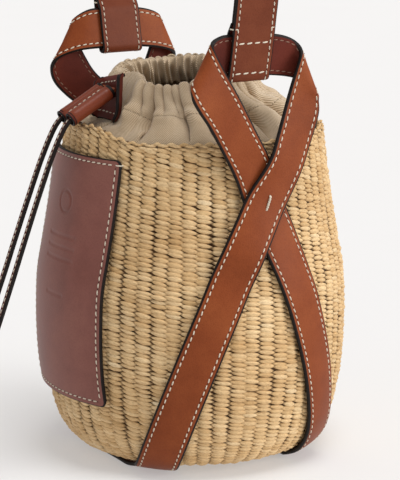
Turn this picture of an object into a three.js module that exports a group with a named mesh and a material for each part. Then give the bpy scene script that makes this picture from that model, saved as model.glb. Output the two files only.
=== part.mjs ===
// A small woven basket bucket bag with a gathered canvas collar and leather straps.
// Millimetres, +Z up. The origin is on the floor under the middle of the bag; -Y is the front.
import * as THREE from 'three';

// ---- driving dimensions -------------------------------------------------------------------

// outside of the weave: radius and height, from the base edge up to the rim
const BASKET_PROFILE = [
  [64, 3.6], [75, 7.8], [83, 16], [88.5, 27], [92, 42], [94.5, 60], [95.5, 78],
  [95.5, 95], [94.5, 115], [91, 135], [87, 158], [83.5, 182], [81, 203.5],
];
const WALL_THICKNESS = 4.5;
const BASE_BOTTOM = 3.6;
const BASE_TOP = 7.4;
const BASE_RADIUS = 61.5;
const GAP = 0.3;

// the rim rises a little at the front, under the cord slider
const RIM_RISE = 7;
const RIM_RISE_HALF_ANGLE = 34;
const RIM_RISE_START = 196;
const RIM_RISE_FLAT_SHARE = 0.25;
const RIM_BORDER = { inner: 76.2, outer: 81.6, bottom: 203.9, top: 206.6, shoulder: 1, round: 1.4 };

const LINING_GAP = 1.6;
const LINING_THICKNESS = 1;
const LINING_TOP = 198;
const LINING_FLOOR_RADIUS = 57;
const LINING_START = 6;

// gathered collar: radius and height of the cloth, and how far its mouth sits towards the front
const COLLAR_PROFILE = [
  [75, 198.6], [72, 204.5], [63, 210], [55, 214.5], [50, 221], [46, 230], [42, 238], [40, 245],
];
const COLLAR_THICKNESS = 1.2;
const COLLAR_LEAN = 10;
const COLLAR_LEAN_FROM = 204;
const COLLAR_LEAN_TO = 238;
const HEM_BOTTOM = 226;
const HEM_TOP = 244.6;
const HEM_INSET = 5.2;
const CHANNEL_CORD_RADIUS = 1.2;
const CHANNEL_CORD_HEIGHT = 229;

const PANEL = { halfWidth: 42.5, bottom: 46, top: 195, layer: 1.5, standoff: 0.8, backingMargin: 0.4 };

// the ribbon straps that cross on each side of the basket and carry the handle
const RIBBON_WIDTH = 24.5;
const RIBBON_THICKNESS = 2.6;
const CROSSING_HEIGHT = 171;
const CROSSING_ANGLE = 88;
const CROSSING_RAISE = RIBBON_THICKNESS + 0.7;
const WALL_CLEARANCE = 0.7;
const FLOOR_CLEARANCE = 0.12;
const CROSSING_HALF_LENGTH = 27;
const CROSSING_RAMP = 22;
// lean of each leg on the wall is radius x sine of its angle from vertical, at the crossing and the base
const FRONT_LEG = { turn: -1, leanTop: 41, leanBase: 29, middleY: -50, raised: true };
const BACK_LEG = { turn: 1, leanTop: 31, leanBase: 27, middleY: 40, raised: false };

// above the crossing each leg leaves the wall, rolls over inwards and becomes the bridge.
// each station is the front-side edge and the back-side edge of the ribbon, on the right of the bag
const FRONT_LEG_RISE = [
  [[90.3, -1.5, 196], [88.6, 21.4, 187]],
  [[88.9, 5.4, 212], [87.4, 28.4, 203.2]],
  [[86.8, 12, 228.5], [86.4, 34.4, 218.6]],
  [[86, 16.6, 240.6], [86, 35.4, 225.6]],
  [[86, 21.7, 255], [86, 34.6, 230.8]],
  [[84.2, 23.2, 260], [81.6, 33.6, 235.6]],
  [[82, 20.6, 264.6], [77.4, 29, 240]],
  [[81.5, 14, 267.6], [76.6, 18.6, 243.2]],
  [[81.4, 4.6, 269.4], [76.5, 5.2, 245]],
];
const BACK_LEG_RISE = [
  [[84.6, -21, 185.4], [86.3, 0.5, 197]],
  [[85.4, -30.8, 203], [86.1, -9.2, 214.5]],
  [[86.3, -40.2, 218.2], [86.2, -18.2, 230.6]],
  [[86.9, -47.2, 227.6], [86.3, -25, 241.8]],
  [[86.5, -51.4, 235], [86.2, -31.6, 252.4]],
  [[83.6, -50.6, 240.4], [85.4, -36.4, 262.2]],
  [[80, -45.6, 243.8], [83.2, -35.8, 267.4]],
  [[77.2, -36, 245.6], [81.7, -29.6, 270]],
  [[76.5, -24.2, 245.8], [81.4, -23.6, 270.4]],
];
// the left loop stands further forward and lower than the right one; x is still the right side's
const BACK_LEG_RISE_LEFT = [
  ...BACK_LEG_RISE.slice(0, 2),
  [[86.2, -44.6, 215.4], [86.2, -23.4, 228.4]],
  [[86.8, -51.6, 222.8], [86.5, -29.8, 238]],
  [[87, -54.6, 229.4], [86.8, -34.6, 247.4]],
  [[85.8, -54.6, 235.4], [86, -38.6, 256.4]],
  [[82, -50.2, 240.8], [84, -38.8, 264.6]],
  [[78, -39.2, 244.8], [81.9, -31.4, 269.4]],
  BACK_LEG_RISE.at(-1),
];
const LEG_END_STATION = 1;
// under the base: stations as shares of the way out to the base edge, and the turn reached there
const UNDER_BASE_SHARES = [0, 0.34, 0.68];
const UNDER_BASE_TURN = 0.5;

// the handle: a two-layer strap whose outer layer folds round each bridge
const HANDLE_WIDTH = 28;
const HANDLE_MIDDLE_Y = -9.5;
const HANDLE_LAYER = 1.7;
const HANDLE_ARCH = [
  [84.9, 270], [86.6, 280], [88.8, 292], [92.2, 318], [94.6, 345], [95.2, 372], [93, 402],
  [86, 432], [73, 458], [54, 477], [28, 487.4], [0, 490],
];
const HANDLE_FOLD = [
  [82.9, 277.2], [80.9, 274], [78.6, 270], [77, 262], [75.4, 254], [73.8, 247], [73.8, 244.9],
  [75, 243.2], [76.7, 242.8], [78.6, 243.4], [79.5, 245.4], [80.4, 249], [82, 256], [83.5, 263.5],
];
const LINING_FIRST_HEIGHT = 278;

// drawstring tab, slider and cords; heights and y follow the cord's fall over the front rim
const CORD_X = 5.6;
const CORD_EXIT = [-56.5, 233.6];
const SLIDER_END = [-89.2, 215.5];
const SLIDER_OUTER_RADIUS = 4.4;
const SLIDER_BORE_RADIUS = 2.85;
const SLIDER_INNER_END = 0.13;
const SLIDER_WAIST_SHARE = 0.8;
const NECK_START = 0.08;
const CORD_WIDTH = 4.4;
const CORD_THICKNESS = 2.4;
const NECK_REACH = 0.62;
const TAIL_ROUTE = [
  [5.6, -84.6, 218], [5.6, -89.2, 215.3], [5.7, -93.2, 210.9], [5.8, -97.9, 202.4],
  [5.9, -103.2, 190.8], [6, -106.6, 182.4], [6, -109.9, 174], [6.1, -114, 163.4],
  [6.2, -118, 152.8], [6.3, -122.8, 140], [6.4, -127.6, 127], [6.6, -132.4, 114.4],
  [6.7, -137.2, 101.8], [6.9, -141.9, 89.8], [7, -146.2, 78], [7.2, -152.9, 56.4], [7.4, -156.8, 41.6],
];
const TAIL_TIP_LENGTH = 13;
const TAIL_TIP_RADIUS = 3.4;
// the tab's sides curl outwards from its flat middle
const TAB = { halfWidth: 15, thickness: 2, cornerInset: 3, flatHalf: 10.4, curl: 4.6 };
const TAB_COLUMNS = [-1, -0.9, -0.8, -0.69, -0.25, 0.25, 0.69, 0.8, 0.9, 1];
const TAB_SIDE = [
  [-54, 240.4], [-55.4, 240.8], [-56.4, 239], [-56.7, 234], [-57, 228.5], [-57.2, 223], [-57.9, 219],
  [-59.6, 215.6], [-61.6, 213.2],
];

const LEATHER = 0x8a4a32;
const PANEL_LEATHER = 0x76463c;
const STRAW = 0xc6a36c;
const CANVAS = 0xc8b89c;
const THREAD = 0xe4dccb;

// ---- small helpers ------------------------------------------------------------------------

const bag = new THREE.Group();

function addMesh(name, geometry, color, roughness = 0.6) {
  const material = new THREE.MeshStandardMaterial({ color, roughness, metalness: 0 });
  const mesh = new THREE.Mesh(geometry, material);
  mesh.name = name;
  bag.add(mesh);
  return mesh;
}

function smooth(x, from, to) {
  const t = Math.min(Math.max((x - from) / (to - from), 0), 1);
  return t * t * (3 - 2 * t);
}

// Catmull-Rom through rows of numbers; t counts rows
function along(rows, t) {
  const last = rows.length - 1;
  const i = Math.min(Math.max(Math.floor(t), 0), last - 1);
  const f = t - i;
  const row = (k) => rows[Math.min(Math.max(k, 0), last)];
  return rows[i].map((b, n) => {
    const a = row(i - 1)[n];
    const c = row(i + 1)[n];
    const d = row(i + 2)[n];
    return b + 0.5 * f * (c - a + f * (2 * a - 5 * b + 4 * c - d + f * (3 * (b - c) + d - a)));
  });
}

function sampled(rows, steps) {
  return Array.from({ length: steps + 1 }, (_, k) => along(rows, ((rows.length - 1) * k) / steps));
}

// a ring turned about Z from a closed outline of [radius, height]
function turned(outline, segments) {
  const points = outline.map(([r, z]) => new THREE.Vector2(r, z));
  const onAxis = outline[0][0] === 0;
  if (!onAxis) points.push(points[0].clone());
  return new THREE.LatheGeometry(points, segments).rotateX(Math.PI / 2);
}

// ---- the basket's outer surface, by length up the profile and angle from the front ----------

const profile = sampled(BASKET_PROFILE, 240);
const lengths = [0];
profile.slice(1).forEach(([r, z], k) => {
  lengths.push(lengths[k] + Math.hypot(r - profile[k][0], z - profile[k][1]));
});
const PROFILE_LENGTH = lengths[lengths.length - 1];

function onProfile(s) {
  const clamped = Math.min(Math.max(s, 0), PROFILE_LENGTH);
  let k = lengths.findIndex((l) => l >= clamped);
  k = Math.max(k, 1);
  const f = (clamped - lengths[k - 1]) / (lengths[k] - lengths[k - 1]);
  const [r0, z0] = profile[k - 1];
  const [r1, z1] = profile[k];
  const size = Math.hypot(r1 - r0, z1 - z0);
  const up = [(r1 - r0) / size, (z1 - z0) / size];
  return { r: r0 + f * (r1 - r0), z: z0 + f * (z1 - z0), normal: [up[1], -up[0]] };
}

function lengthAt(height) {
  const k = profile.findIndex(([, z]) => z >= height);
  const f = (height - profile[k - 1][1]) / (profile[k][1] - profile[k - 1][1]);
  return lengths[k - 1] + f * (lengths[k] - lengths[k - 1]);
}

function onWall(s, angle, offset) {
  const { r, z, normal } = onProfile(s);
  const radius = r + offset * normal[0];
  return [radius * Math.sin(angle), -radius * Math.cos(angle), z + offset * normal[1]];
}

// the wall's outline at an offset from the outer surface, from one length to another
function offsetProfile(from, to, offset, steps) {
  return Array.from({ length: steps + 1 }, (_, k) => {
    const { r, z, normal } = onProfile(from + ((to - from) * k) / steps);
    return [r + offset * normal[0], z + offset * normal[1]];
  });
}

function raiseRim(geometry) {
  const position = geometry.attributes.position;
  const half = THREE.MathUtils.degToRad(RIM_RISE_HALF_ANGLE);
  for (let k = 0; k < position.count; k += 1) {
    const angle = Math.abs(Math.atan2(position.getX(k), -position.getY(k)));
    const bump = 1 - smooth(angle, RIM_RISE_FLAT_SHARE * half, half);
    const z = position.getZ(k);
    position.setZ(k, z + RIM_RISE * bump * smooth(z, RIM_RISE_START, RIM_BORDER.bottom));
  }
  return geometry;
}

// ---- sheets with thickness ------------------------------------------------------------------

// a closed slab from a grid of points of its middle surface, rows along it and columns across it
function slab(grid, thickness) {
  const rows = grid.length;
  const columns = grid[0].length;
  const point = (i, j) => new THREE.Vector3(...grid[i][j]);
  const sides = [1, -1].map((side) =>
    grid.map((row, i) =>
      row.map((_, j) => {
        const alongRow = point(Math.min(i + 1, rows - 1), j).sub(point(Math.max(i - 1, 0), j));
        const across = point(i, Math.min(j + 1, columns - 1)).sub(point(i, Math.max(j - 1, 0)));
        const normal = across.cross(alongRow).normalize();
        return point(i, j).addScaledVector(normal, (side * thickness) / 2);
      }),
    ),
  );
  const vertices = sides.flat(2).flatMap((p) => [p.x, p.y, p.z]);
  const id = (side, i, j) => side * rows * columns + i * columns + j;
  const faces = [];
  const quad = (a, b, c, d) => faces.push(a, b, c, a, c, d);
  for (let i = 0; i < rows - 1; i += 1) {
    for (let j = 0; j < columns - 1; j += 1) {
      quad(id(0, i, j), id(0, i, j + 1), id(0, i + 1, j + 1), id(0, i + 1, j));
      quad(id(1, i, j), id(1, i + 1, j), id(1, i + 1, j + 1), id(1, i, j + 1));
    }
    const edge = columns - 1;
    quad(id(0, i, 0), id(0, i + 1, 0), id(1, i + 1, 0), id(1, i, 0));
    quad(id(0, i, edge), id(1, i, edge), id(1, i + 1, edge), id(0, i + 1, edge));
  }
  for (let j = 0; j < columns - 1; j += 1) {
    const end = rows - 1;
    quad(id(0, 0, j), id(1, 0, j), id(1, 0, j + 1), id(0, 0, j + 1));
    quad(id(0, end, j), id(0, end, j + 1), id(1, end, j + 1), id(1, end, j));
  }
  const geometry = new THREE.BufferGeometry();
  geometry.setAttribute('position', new THREE.Float32BufferAttribute(vertices, 3));
  geometry.setIndex(faces);
  return geometry;
}

// the same grid on the left of the bag, its columns reversed so that it stays outward-facing
function mirrored(grid) {
  return grid.map((row) => row.map(([x, y, z]) => [-x, y, z]).reverse());
}

// a strip of constant width along Y, from its side view of [x, z] points
function sideStrip(points, thickness, width, middleY) {
  const offset = (side) =>
    points.map(([x, z], k) => {
      const [x0, z0] = points[Math.max(k - 1, 0)];
      const [x1, z1] = points[Math.min(k + 1, points.length - 1)];
      const size = Math.hypot(x1 - x0, z1 - z0);
      const reach = (side * thickness) / 2 / size;
      return new THREE.Vector2(x - reach * (z1 - z0), z + reach * (x1 - x0));
    });
  const shape = new THREE.Shape([...offset(1), ...offset(-1).reverse()]);
  const solid = new THREE.ExtrudeGeometry(shape, { depth: width, bevelEnabled: false });
  return solid.rotateX(Math.PI / 2).translate(0, middleY + width / 2, 0);
}

// ---- basket -----------------------------------------------------------------------------------

const wall = [
  ...offsetProfile(0, PROFILE_LENGTH, 0, 16),
  ...offsetProfile(PROFILE_LENGTH, 0, -WALL_THICKNESS, 11),
];
addMesh('woven_wall', raiseRim(turned(wall, 40)), STRAW, 0.85);
const base = [
  [0, BASE_BOTTOM], [BASE_RADIUS, BASE_BOTTOM], [BASE_RADIUS, BASE_TOP], [0, BASE_TOP],
];
addMesh('woven_base', turned(base, 32), STRAW, 0.85);

const { inner, outer, bottom, top, shoulder, round } = RIM_BORDER;
const border = [
  [inner, bottom], [outer, bottom], [outer, top - shoulder],
  [outer - round, top], [inner + round, top], [inner, top - shoulder],
];
addMesh('woven_rim_border', raiseRim(turned(border, 40)), STRAW, 0.85);

// ---- pouch: lining inside the basket, gathered collar above it -------------------------------------

const liningOut = -WALL_THICKNESS - LINING_GAP;
const liningIn = liningOut - LINING_THICKNESS;
const liningTop = lengthAt(LINING_TOP);
const liningFloor = BASE_TOP + LINING_GAP;
const lining = [
  [0, liningFloor],
  [LINING_FLOOR_RADIUS, liningFloor],
  ...offsetProfile(LINING_START, liningTop, liningOut, 10),
  ...offsetProfile(liningTop, LINING_START, liningIn, 10),
  [LINING_FLOOR_RADIUS - LINING_THICKNESS / 2, liningFloor + LINING_THICKNESS],
  [0, liningFloor + LINING_THICKNESS],
];
addMesh('pouch_lining', turned(lining, 28), CANVAS, 0.9);

function leanToFront(geometry) {
  const position = geometry.attributes.position;
  for (let k = 0; k < position.count; k += 1) {
    const shift = COLLAR_LEAN * smooth(position.getZ(k), COLLAR_LEAN_FROM, COLLAR_LEAN_TO);
    position.setY(k, position.getY(k) - shift);
  }
  return geometry;
}

function inset(outline, distance) {
  return outline.map(([r, z], k) => {
    const [r0, z0] = outline[Math.max(k - 1, 0)];
    const [r1, z1] = outline[Math.min(k + 1, outline.length - 1)];
    const size = Math.hypot(r1 - r0, z1 - z0);
    return [r - (distance * (z1 - z0)) / size, z + (distance * (r1 - r0)) / size];
  });
}

const collarOuter = sampled(COLLAR_PROFILE, 11);
const collar = [...collarOuter, ...inset(collarOuter, COLLAR_THICKNESS).reverse()];
addMesh('pouch_collar', leanToFront(turned(collar, 36)), CANVAS, 0.9);

// the hem is turned down inside the mouth; the channel cord runs between it and the collar
const hemOuter = inset(collarOuter.filter(([, z]) => z > HEM_BOTTOM && z < HEM_TOP), HEM_INSET);
const hem = [...hemOuter, ...inset(hemOuter, COLLAR_THICKNESS).reverse()];
addMesh('pouch_hem_facing', leanToFront(turned(hem, 30)), CANVAS, 0.9);

const collarAtCord = collarOuter.find(([, z]) => z >= CHANNEL_CORD_HEIGHT)[0];
const channelRadius = collarAtCord - (HEM_INSET + COLLAR_THICKNESS) / 2;
const channelSection = Array.from({ length: 6 }, (_, k) => {
  const a = (k * Math.PI) / 3;
  const height = CHANNEL_CORD_HEIGHT + CHANNEL_CORD_RADIUS * Math.sin(a);
  return [channelRadius + CHANNEL_CORD_RADIUS * Math.cos(a), height];
});
addMesh('channel_cord', leanToFront(turned(channelSection, 24)), LEATHER, 0.6);

// ---- front panel: two leather layers on the weave ------------------------------------------------

function panelGrid(offset, margin) {
  const from = lengthAt(PANEL.bottom + margin);
  const to = lengthAt(PANEL.top - margin);
  const rows = 10;
  const columns = 8;
  return Array.from({ length: rows + 1 }, (_, i) => {
    const s = from + ((to - from) * i) / rows;
    const { r } = onProfile(s);
    return Array.from({ length: columns + 1 }, (_, j) => {
      const across = (PANEL.halfWidth - margin) * ((2 * j) / columns - 1);
      return onWall(s, across / r, offset);
    });
  });
}
const backingMiddle = PANEL.standoff + PANEL.layer / 2;
const panelMiddle = backingMiddle + PANEL.layer + GAP;
const backingGrid = panelGrid(backingMiddle, PANEL.backingMargin);
addMesh('front_panel_backing', slab(backingGrid, PANEL.layer), PANEL_LEATHER);
addMesh('front_panel', slab(panelGrid(panelMiddle, 0), PANEL.layer), PANEL_LEATHER);

// ---- ribbon straps --------------------------------------------------------------------------------

const WALL_STATIONS = 16;
const STATION_CROWDING = 1.4;
const ACROSS = 4;

// stations of one leg from the middle of the base up to the bridge, each a row of points across it
function ribbonStations(leg, rise) {
  const top = lengthAt(CROSSING_HEIGHT);
  const onWallPath = [];
  let angle = THREE.MathUtils.degToRad(CROSSING_ANGLE);
  const fine = 8;
  const lengthOf = (k) => top * (k / (WALL_STATIONS * fine)) ** STATION_CROWDING;
  for (let k = WALL_STATIONS * fine; k >= 0; k -= 1) {
    const s = lengthOf(k);
    const { r } = onProfile(s);
    const sine = (leg.leanBase + ((leg.leanTop - leg.leanBase) * s) / top) / r;
    if (k % fine === 0) onWallPath.unshift({ s, angle, r, sine });
    const step = s - lengthOf(k - 1);
    if (k > 0) angle += (leg.turn * step * sine) / Math.sqrt(1 - sine * sine) / r;
  }
  const wallRows = onWallPath.map(({ s, angle: middle, r, sine }) => {
    const cosine = Math.sqrt(1 - sine * sine);
    const fromCrossing = top - s;
    const rampEnd = CROSSING_HALF_LENGTH + CROSSING_RAMP;
    const raise = leg.raised ? 1 - smooth(fromCrossing, CROSSING_HALF_LENGTH, rampEnd) : 0;
    const offset = WALL_CLEARANCE + RIBBON_THICKNESS / 2 + CROSSING_RAISE * raise;
    return Array.from({ length: ACROSS + 1 }, (_, j) => {
      const v = RIBBON_WIDTH * (j / ACROSS - 0.5);
      return onWall(s + leg.turn * v * sine, middle + (v * cosine) / r, offset);
    });
  });
  const edge = wallRows[0][ACROSS / 2];
  const underRows = UNDER_BASE_SHARES.map((f) => {
    const ease = f * f;
    const middle = [f * edge[0], leg.middleY + ease * (edge[1] - leg.middleY)];
    const turn = ease * UNDER_BASE_TURN * leg.turn;
    const height = RIBBON_THICKNESS / 2 + FLOOR_CLEARANCE;
    return Array.from({ length: ACROSS + 1 }, (_, j) => {
      const v = RIBBON_WIDTH * (j / ACROSS - 0.5);
      return [middle[0] - v * Math.sin(turn), middle[1] + v * Math.cos(turn), height];
    });
  });
  const riseRows = rise.map(([front, back]) =>
    Array.from({ length: ACROSS + 1 }, (_, j) =>
      front.map((a, n) => a + ((back[n] - a) * j) / ACROSS),
    ),
  );
  const riseStart = underRows.length + wallRows.length;
  return { rows: [...underRows, ...wallRows, ...riseRows], riseStart };
}

function stretch(rows, from, to, steps) {
  const flat = rows.map((row) => row.flat());
  return Array.from({ length: steps + 1 }, (_, k) => {
    const numbers = along(flat, from + ((to - from) * k) / steps);
    return Array.from({ length: ACROSS + 1 }, (_, j) => numbers.slice(3 * j, 3 * j + 3));
  });
}

const END_GAP = 0.02;
const frontLeg = ribbonStations(FRONT_LEG, FRONT_LEG_RISE);
const backLeg = ribbonStations(BACK_LEG, BACK_LEG_RISE);
const legs = {
  front_right: frontLeg,
  front_left: frontLeg,
  back_right: backLeg,
  back_left: ribbonStations(BACK_LEG, BACK_LEG_RISE_LEFT),
};
for (const [place, { rows, riseStart }] of Object.entries(legs)) {
  const placed = place.endsWith('left') ? mirrored : (part) => part;
  const legEnd = riseStart + LEG_END_STATION;
  const leg = placed(stretch(rows, END_GAP, legEnd, 28));
  const roll = placed(stretch(rows, legEnd + END_GAP, rows.length - 1, 14));
  addMesh(`ribbon_leg_${place}`, slab(leg, RIBBON_THICKNESS), LEATHER);
  addMesh(`ribbon_roll_${place}`, slab(roll, RIBBON_THICKNESS), LEATHER);
}

// the bridge that the handle is folded round, standing between the ends of the two rolls
const frontEnd = frontLeg.rows.at(-1);
const backEnd = backLeg.rows.at(-1);
const bridge = [0.02, 0.35, 0.65, 0.98].map((f) =>
  frontEnd.map((a, j) => a.map((value, n) => value + (backEnd[ACROSS - j][n] - value) * f)),
);
addMesh('ribbon_bridge_right', slab(bridge, RIBBON_THICKNESS), LEATHER);
addMesh('ribbon_bridge_left', slab(mirrored(bridge), RIBBON_THICKNESS), LEATHER);

// one long stitch holds the crossing ribbons together on each side
const STITCH = { length: 10, width: 1.4, thickness: 1, lean: 0.35 };
for (const [place, side] of [['right', 1], ['left', -1]]) {
  const stitch = new THREE.CapsuleGeometry(STITCH.width / 2, STITCH.length - STITCH.width, 3, 8);
  stitch.rotateX(Math.PI / 2 - STITCH.lean);
  const surface = onWall(lengthAt(CROSSING_HEIGHT), THREE.MathUtils.degToRad(CROSSING_ANGLE), 0);
  const proud = WALL_CLEARANCE + CROSSING_RAISE + RIBBON_THICKNESS + GAP + STITCH.width / 2;
  const mesh = addMesh(`crossing_stitch_${place}`, stitch, THREAD, 0.8);
  mesh.position.set(side * (surface[0] + proud + GAP), surface[1], surface[2]);
}

// ---- handle -------------------------------------------------------------------------------------

const mirrorX = (points) => points.map(([x, z]) => [-x, z]).reverse();
const fold = sampled(HANDLE_FOLD, 22);
const halfArch = sampled(HANDLE_ARCH, 18);
const archLine = [...halfArch, ...mirrorX(halfArch).slice(1)];
const outerLine = [...fold, ...archLine, ...mirrorX(fold)];
addMesh('handle_outer_layer', sideStrip(outerLine, HANDLE_LAYER, HANDLE_WIDTH, HANDLE_MIDDLE_Y), LEATHER);
const innerArch = archLine
  .map(([x, z], k) => {
    const [x0, z0] = archLine[Math.max(k - 1, 0)];
    const [x1, z1] = archLine[Math.min(k + 1, archLine.length - 1)];
    const size = Math.hypot(x1 - x0, z1 - z0);
    const reach = (HANDLE_LAYER + GAP) / size;
    return [x - reach * (z1 - z0), z + reach * (x1 - x0)];
  })
  .filter(([, z]) => z > LINING_FIRST_HEIGHT);
addMesh('handle_lining_layer', sideStrip(innerArch, HANDLE_LAYER, HANDLE_WIDTH, HANDLE_MIDDLE_Y), LEATHER);

// ---- drawstring tab, slider and cords -----------------------------------------------------------

const tabSide = sampled(TAB_SIDE, 12);
const tabGrid = tabSide.map(([y, z], i) => {
  const ends = Math.min(i, tabSide.length - 1 - i);
  const half = TAB.halfWidth - TAB.cornerInset * (1 - smooth(ends, 0, 2));
  return TAB_COLUMNS.map((f) => {
    const curl = TAB.curl * smooth(half * Math.abs(f), TAB.flatHalf, TAB.halfWidth);
    return [half * f, y - curl, z];
  });
});
addMesh('drawstring_tab', slab(tabGrid.reverse(), TAB.thickness), LEATHER);

const sliderAxis = new THREE.Vector3(0, SLIDER_END[0] - CORD_EXIT[0], SLIDER_END[1] - CORD_EXIT[1]);
const onSlider = (x, f) => new THREE.Vector3(x, CORD_EXIT[0], CORD_EXIT[1]).addScaledVector(sliderAxis, f);

function sweep(section, points, steps) {
  const shape = new THREE.Shape(section.map(([x, y]) => new THREE.Vector2(x, y)));
  const extrudePath = new THREE.CatmullRomCurve3(points);
  return new THREE.ExtrudeGeometry(shape, { steps, extrudePath, bevelEnabled: false });
}

// the slider is one leather piece rolled into two tubes: its outline has both bores
function sliderGeometry() {
  const outline = [];
  const arc = 10;
  for (const side of [1, -1]) {
    for (let k = 0; k <= arc; k += 1) {
      const a = (k / arc - 0.5) * Math.PI;
      const x = side * (CORD_X + SLIDER_OUTER_RADIUS * Math.cos(a));
      outline.push(new THREE.Vector2(x, side * SLIDER_OUTER_RADIUS * Math.sin(a)));
    }
    outline.push(new THREE.Vector2(0, side * SLIDER_OUTER_RADIUS * SLIDER_WAIST_SHARE));
  }
  const shape = new THREE.Shape(outline);
  for (const side of [1, -1]) {
    const bore = new THREE.Path();
    bore.absarc(side * CORD_X, 0, SLIDER_BORE_RADIUS, 0, 2 * Math.PI, true);
    shape.holes.push(bore);
  }
  const from = onSlider(0, SLIDER_INNER_END);
  const depth = from.distanceTo(onSlider(0, 1));
  const geometry = new THREE.ExtrudeGeometry(shape, { depth, bevelEnabled: false, curveSegments: 8 });
  const tilt = Math.atan2(sliderAxis.z, -sliderAxis.y);
  geometry.rotateX(Math.PI / 2 - tilt);
  return geometry.translate(from.x, from.y, from.z);
}
addMesh('cord_slider', sliderGeometry(), LEATHER, 0.5);

const halfWidth = CORD_WIDTH / 2;
const halfThick = CORD_THICKNESS / 2;
const chamfer = 0.5;
const cordSection = [
  [halfWidth, halfThick - chamfer], [halfWidth - chamfer, halfThick],
  [chamfer - halfWidth, halfThick], [-halfWidth, halfThick - chamfer],
  [-halfWidth, chamfer - halfThick], [chamfer - halfWidth, -halfThick],
  [halfWidth - chamfer, -halfThick], [halfWidth, chamfer - halfThick],
];
const TAIL_STEPS = 22;
for (const [place, side] of [['right', 1], ['left', -1]]) {
  const neck = [NECK_START, 0.25, 0.45, NECK_REACH].map((f) => onSlider(side * CORD_X, f));
  addMesh(`cord_neck_${place}`, sweep(cordSection, neck, 3), LEATHER);
  const route = TAIL_ROUTE.map(([x, y, z]) => new THREE.Vector3(side * x, y, z));
  addMesh(`cord_tail_${place}`, sweep(cordSection, route, TAIL_STEPS), LEATHER);
  const end = route.at(-1);
  const direction = end.clone().sub(route.at(-2)).normalize();
  const tip = new THREE.CapsuleGeometry(TAIL_TIP_RADIUS, TAIL_TIP_LENGTH - 2 * TAIL_TIP_RADIUS, 3, 10);
  const mesh = addMesh(`cord_tip_${place}`, tip, LEATHER);
  mesh.quaternion.setFromUnitVectors(new THREE.Vector3(0, 1, 0), direction);
  mesh.position.copy(end).addScaledVector(direction, TAIL_TIP_LENGTH / 2 + GAP);
}

// the front panel stands proud of the weave, so the middle of the bag's box lies half that far forward
bag.position.y = (panelMiddle + PANEL.layer / 2) / 2;

export default bag;
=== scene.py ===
"""Bucket bag: a twined basket with a gathered canvas collar, crossed leather ribbons and a strap handle.

Lengths are in millimetres in the part's own frame. add_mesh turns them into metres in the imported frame.
"""

import math

import bpy
import numpy as np
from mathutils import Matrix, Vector


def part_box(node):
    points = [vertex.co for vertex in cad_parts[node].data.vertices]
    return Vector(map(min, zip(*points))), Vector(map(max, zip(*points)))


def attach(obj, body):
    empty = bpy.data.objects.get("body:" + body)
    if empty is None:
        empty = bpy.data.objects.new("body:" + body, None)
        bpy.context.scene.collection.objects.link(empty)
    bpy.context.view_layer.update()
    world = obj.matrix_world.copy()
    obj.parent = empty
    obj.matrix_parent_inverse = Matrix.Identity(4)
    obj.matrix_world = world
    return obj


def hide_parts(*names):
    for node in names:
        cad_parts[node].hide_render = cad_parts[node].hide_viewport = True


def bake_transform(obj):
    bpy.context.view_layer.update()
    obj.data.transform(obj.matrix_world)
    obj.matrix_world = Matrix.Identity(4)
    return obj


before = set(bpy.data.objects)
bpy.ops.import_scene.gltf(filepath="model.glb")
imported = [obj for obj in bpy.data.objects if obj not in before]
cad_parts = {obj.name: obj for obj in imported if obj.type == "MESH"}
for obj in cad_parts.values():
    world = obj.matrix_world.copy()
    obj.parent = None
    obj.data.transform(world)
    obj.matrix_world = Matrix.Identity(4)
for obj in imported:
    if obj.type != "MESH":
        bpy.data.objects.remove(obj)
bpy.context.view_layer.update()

MM = 0.001
UP = np.array([0, 0, 1.0])
rng = np.random.default_rng(11)

base_low, base_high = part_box("woven_base")
MIDDLE = np.array([0, (base_low[1] + base_high[1]) / 2 / MM, 0])


def metres(points):
    return (np.asarray(points, float) + MIDDLE) * MM


def new_object(name, data):
    item = bpy.data.objects.new(name, data)
    bpy.context.scene.collection.objects.link(item)
    return item


def turn_to(item, direction, axis):
    item.rotation_mode = "QUATERNION"
    item.rotation_quaternion = Vector(direction).to_track_quat(axis, "Y")


# ---- camera ----

AZIMUTH = math.radians(59.5)
CAMERA_REACH = 1294
CAMERA_HEIGHT = 420
TARGET_HEIGHT = 131
TARGET_RIGHT = 4
LENS = 157.9
SENSOR_WIDTH = 36

toward_camera = np.array([math.sin(AZIMUTH), -math.cos(AZIMUTH), 0])
to_right = np.array([math.cos(AZIMUTH), math.sin(AZIMUTH), 0])
camera_data = bpy.data.cameras.new("camera")
camera_data.lens = LENS
camera_data.sensor_width = SENSOR_WIDTH
camera = new_object("camera", camera_data)
bpy.context.scene.camera = camera
eye = Vector(metres(toward_camera * CAMERA_REACH + [0, 0, CAMERA_HEIGHT]))
target = Vector(metres(to_right * TARGET_RIGHT + [0, 0, TARGET_HEIGHT]))
camera.location = eye
turn_to(camera, target - eye, "-Z")

# ---- materials ----

WHITE = (255, 255, 255)


def srgb(*values):
    linear = [c / 255 / 12.92 if c <= 10 else ((c / 255 + 0.055) / 1.055) ** 2.4 for c in values]
    return (*linear, 1)


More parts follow.
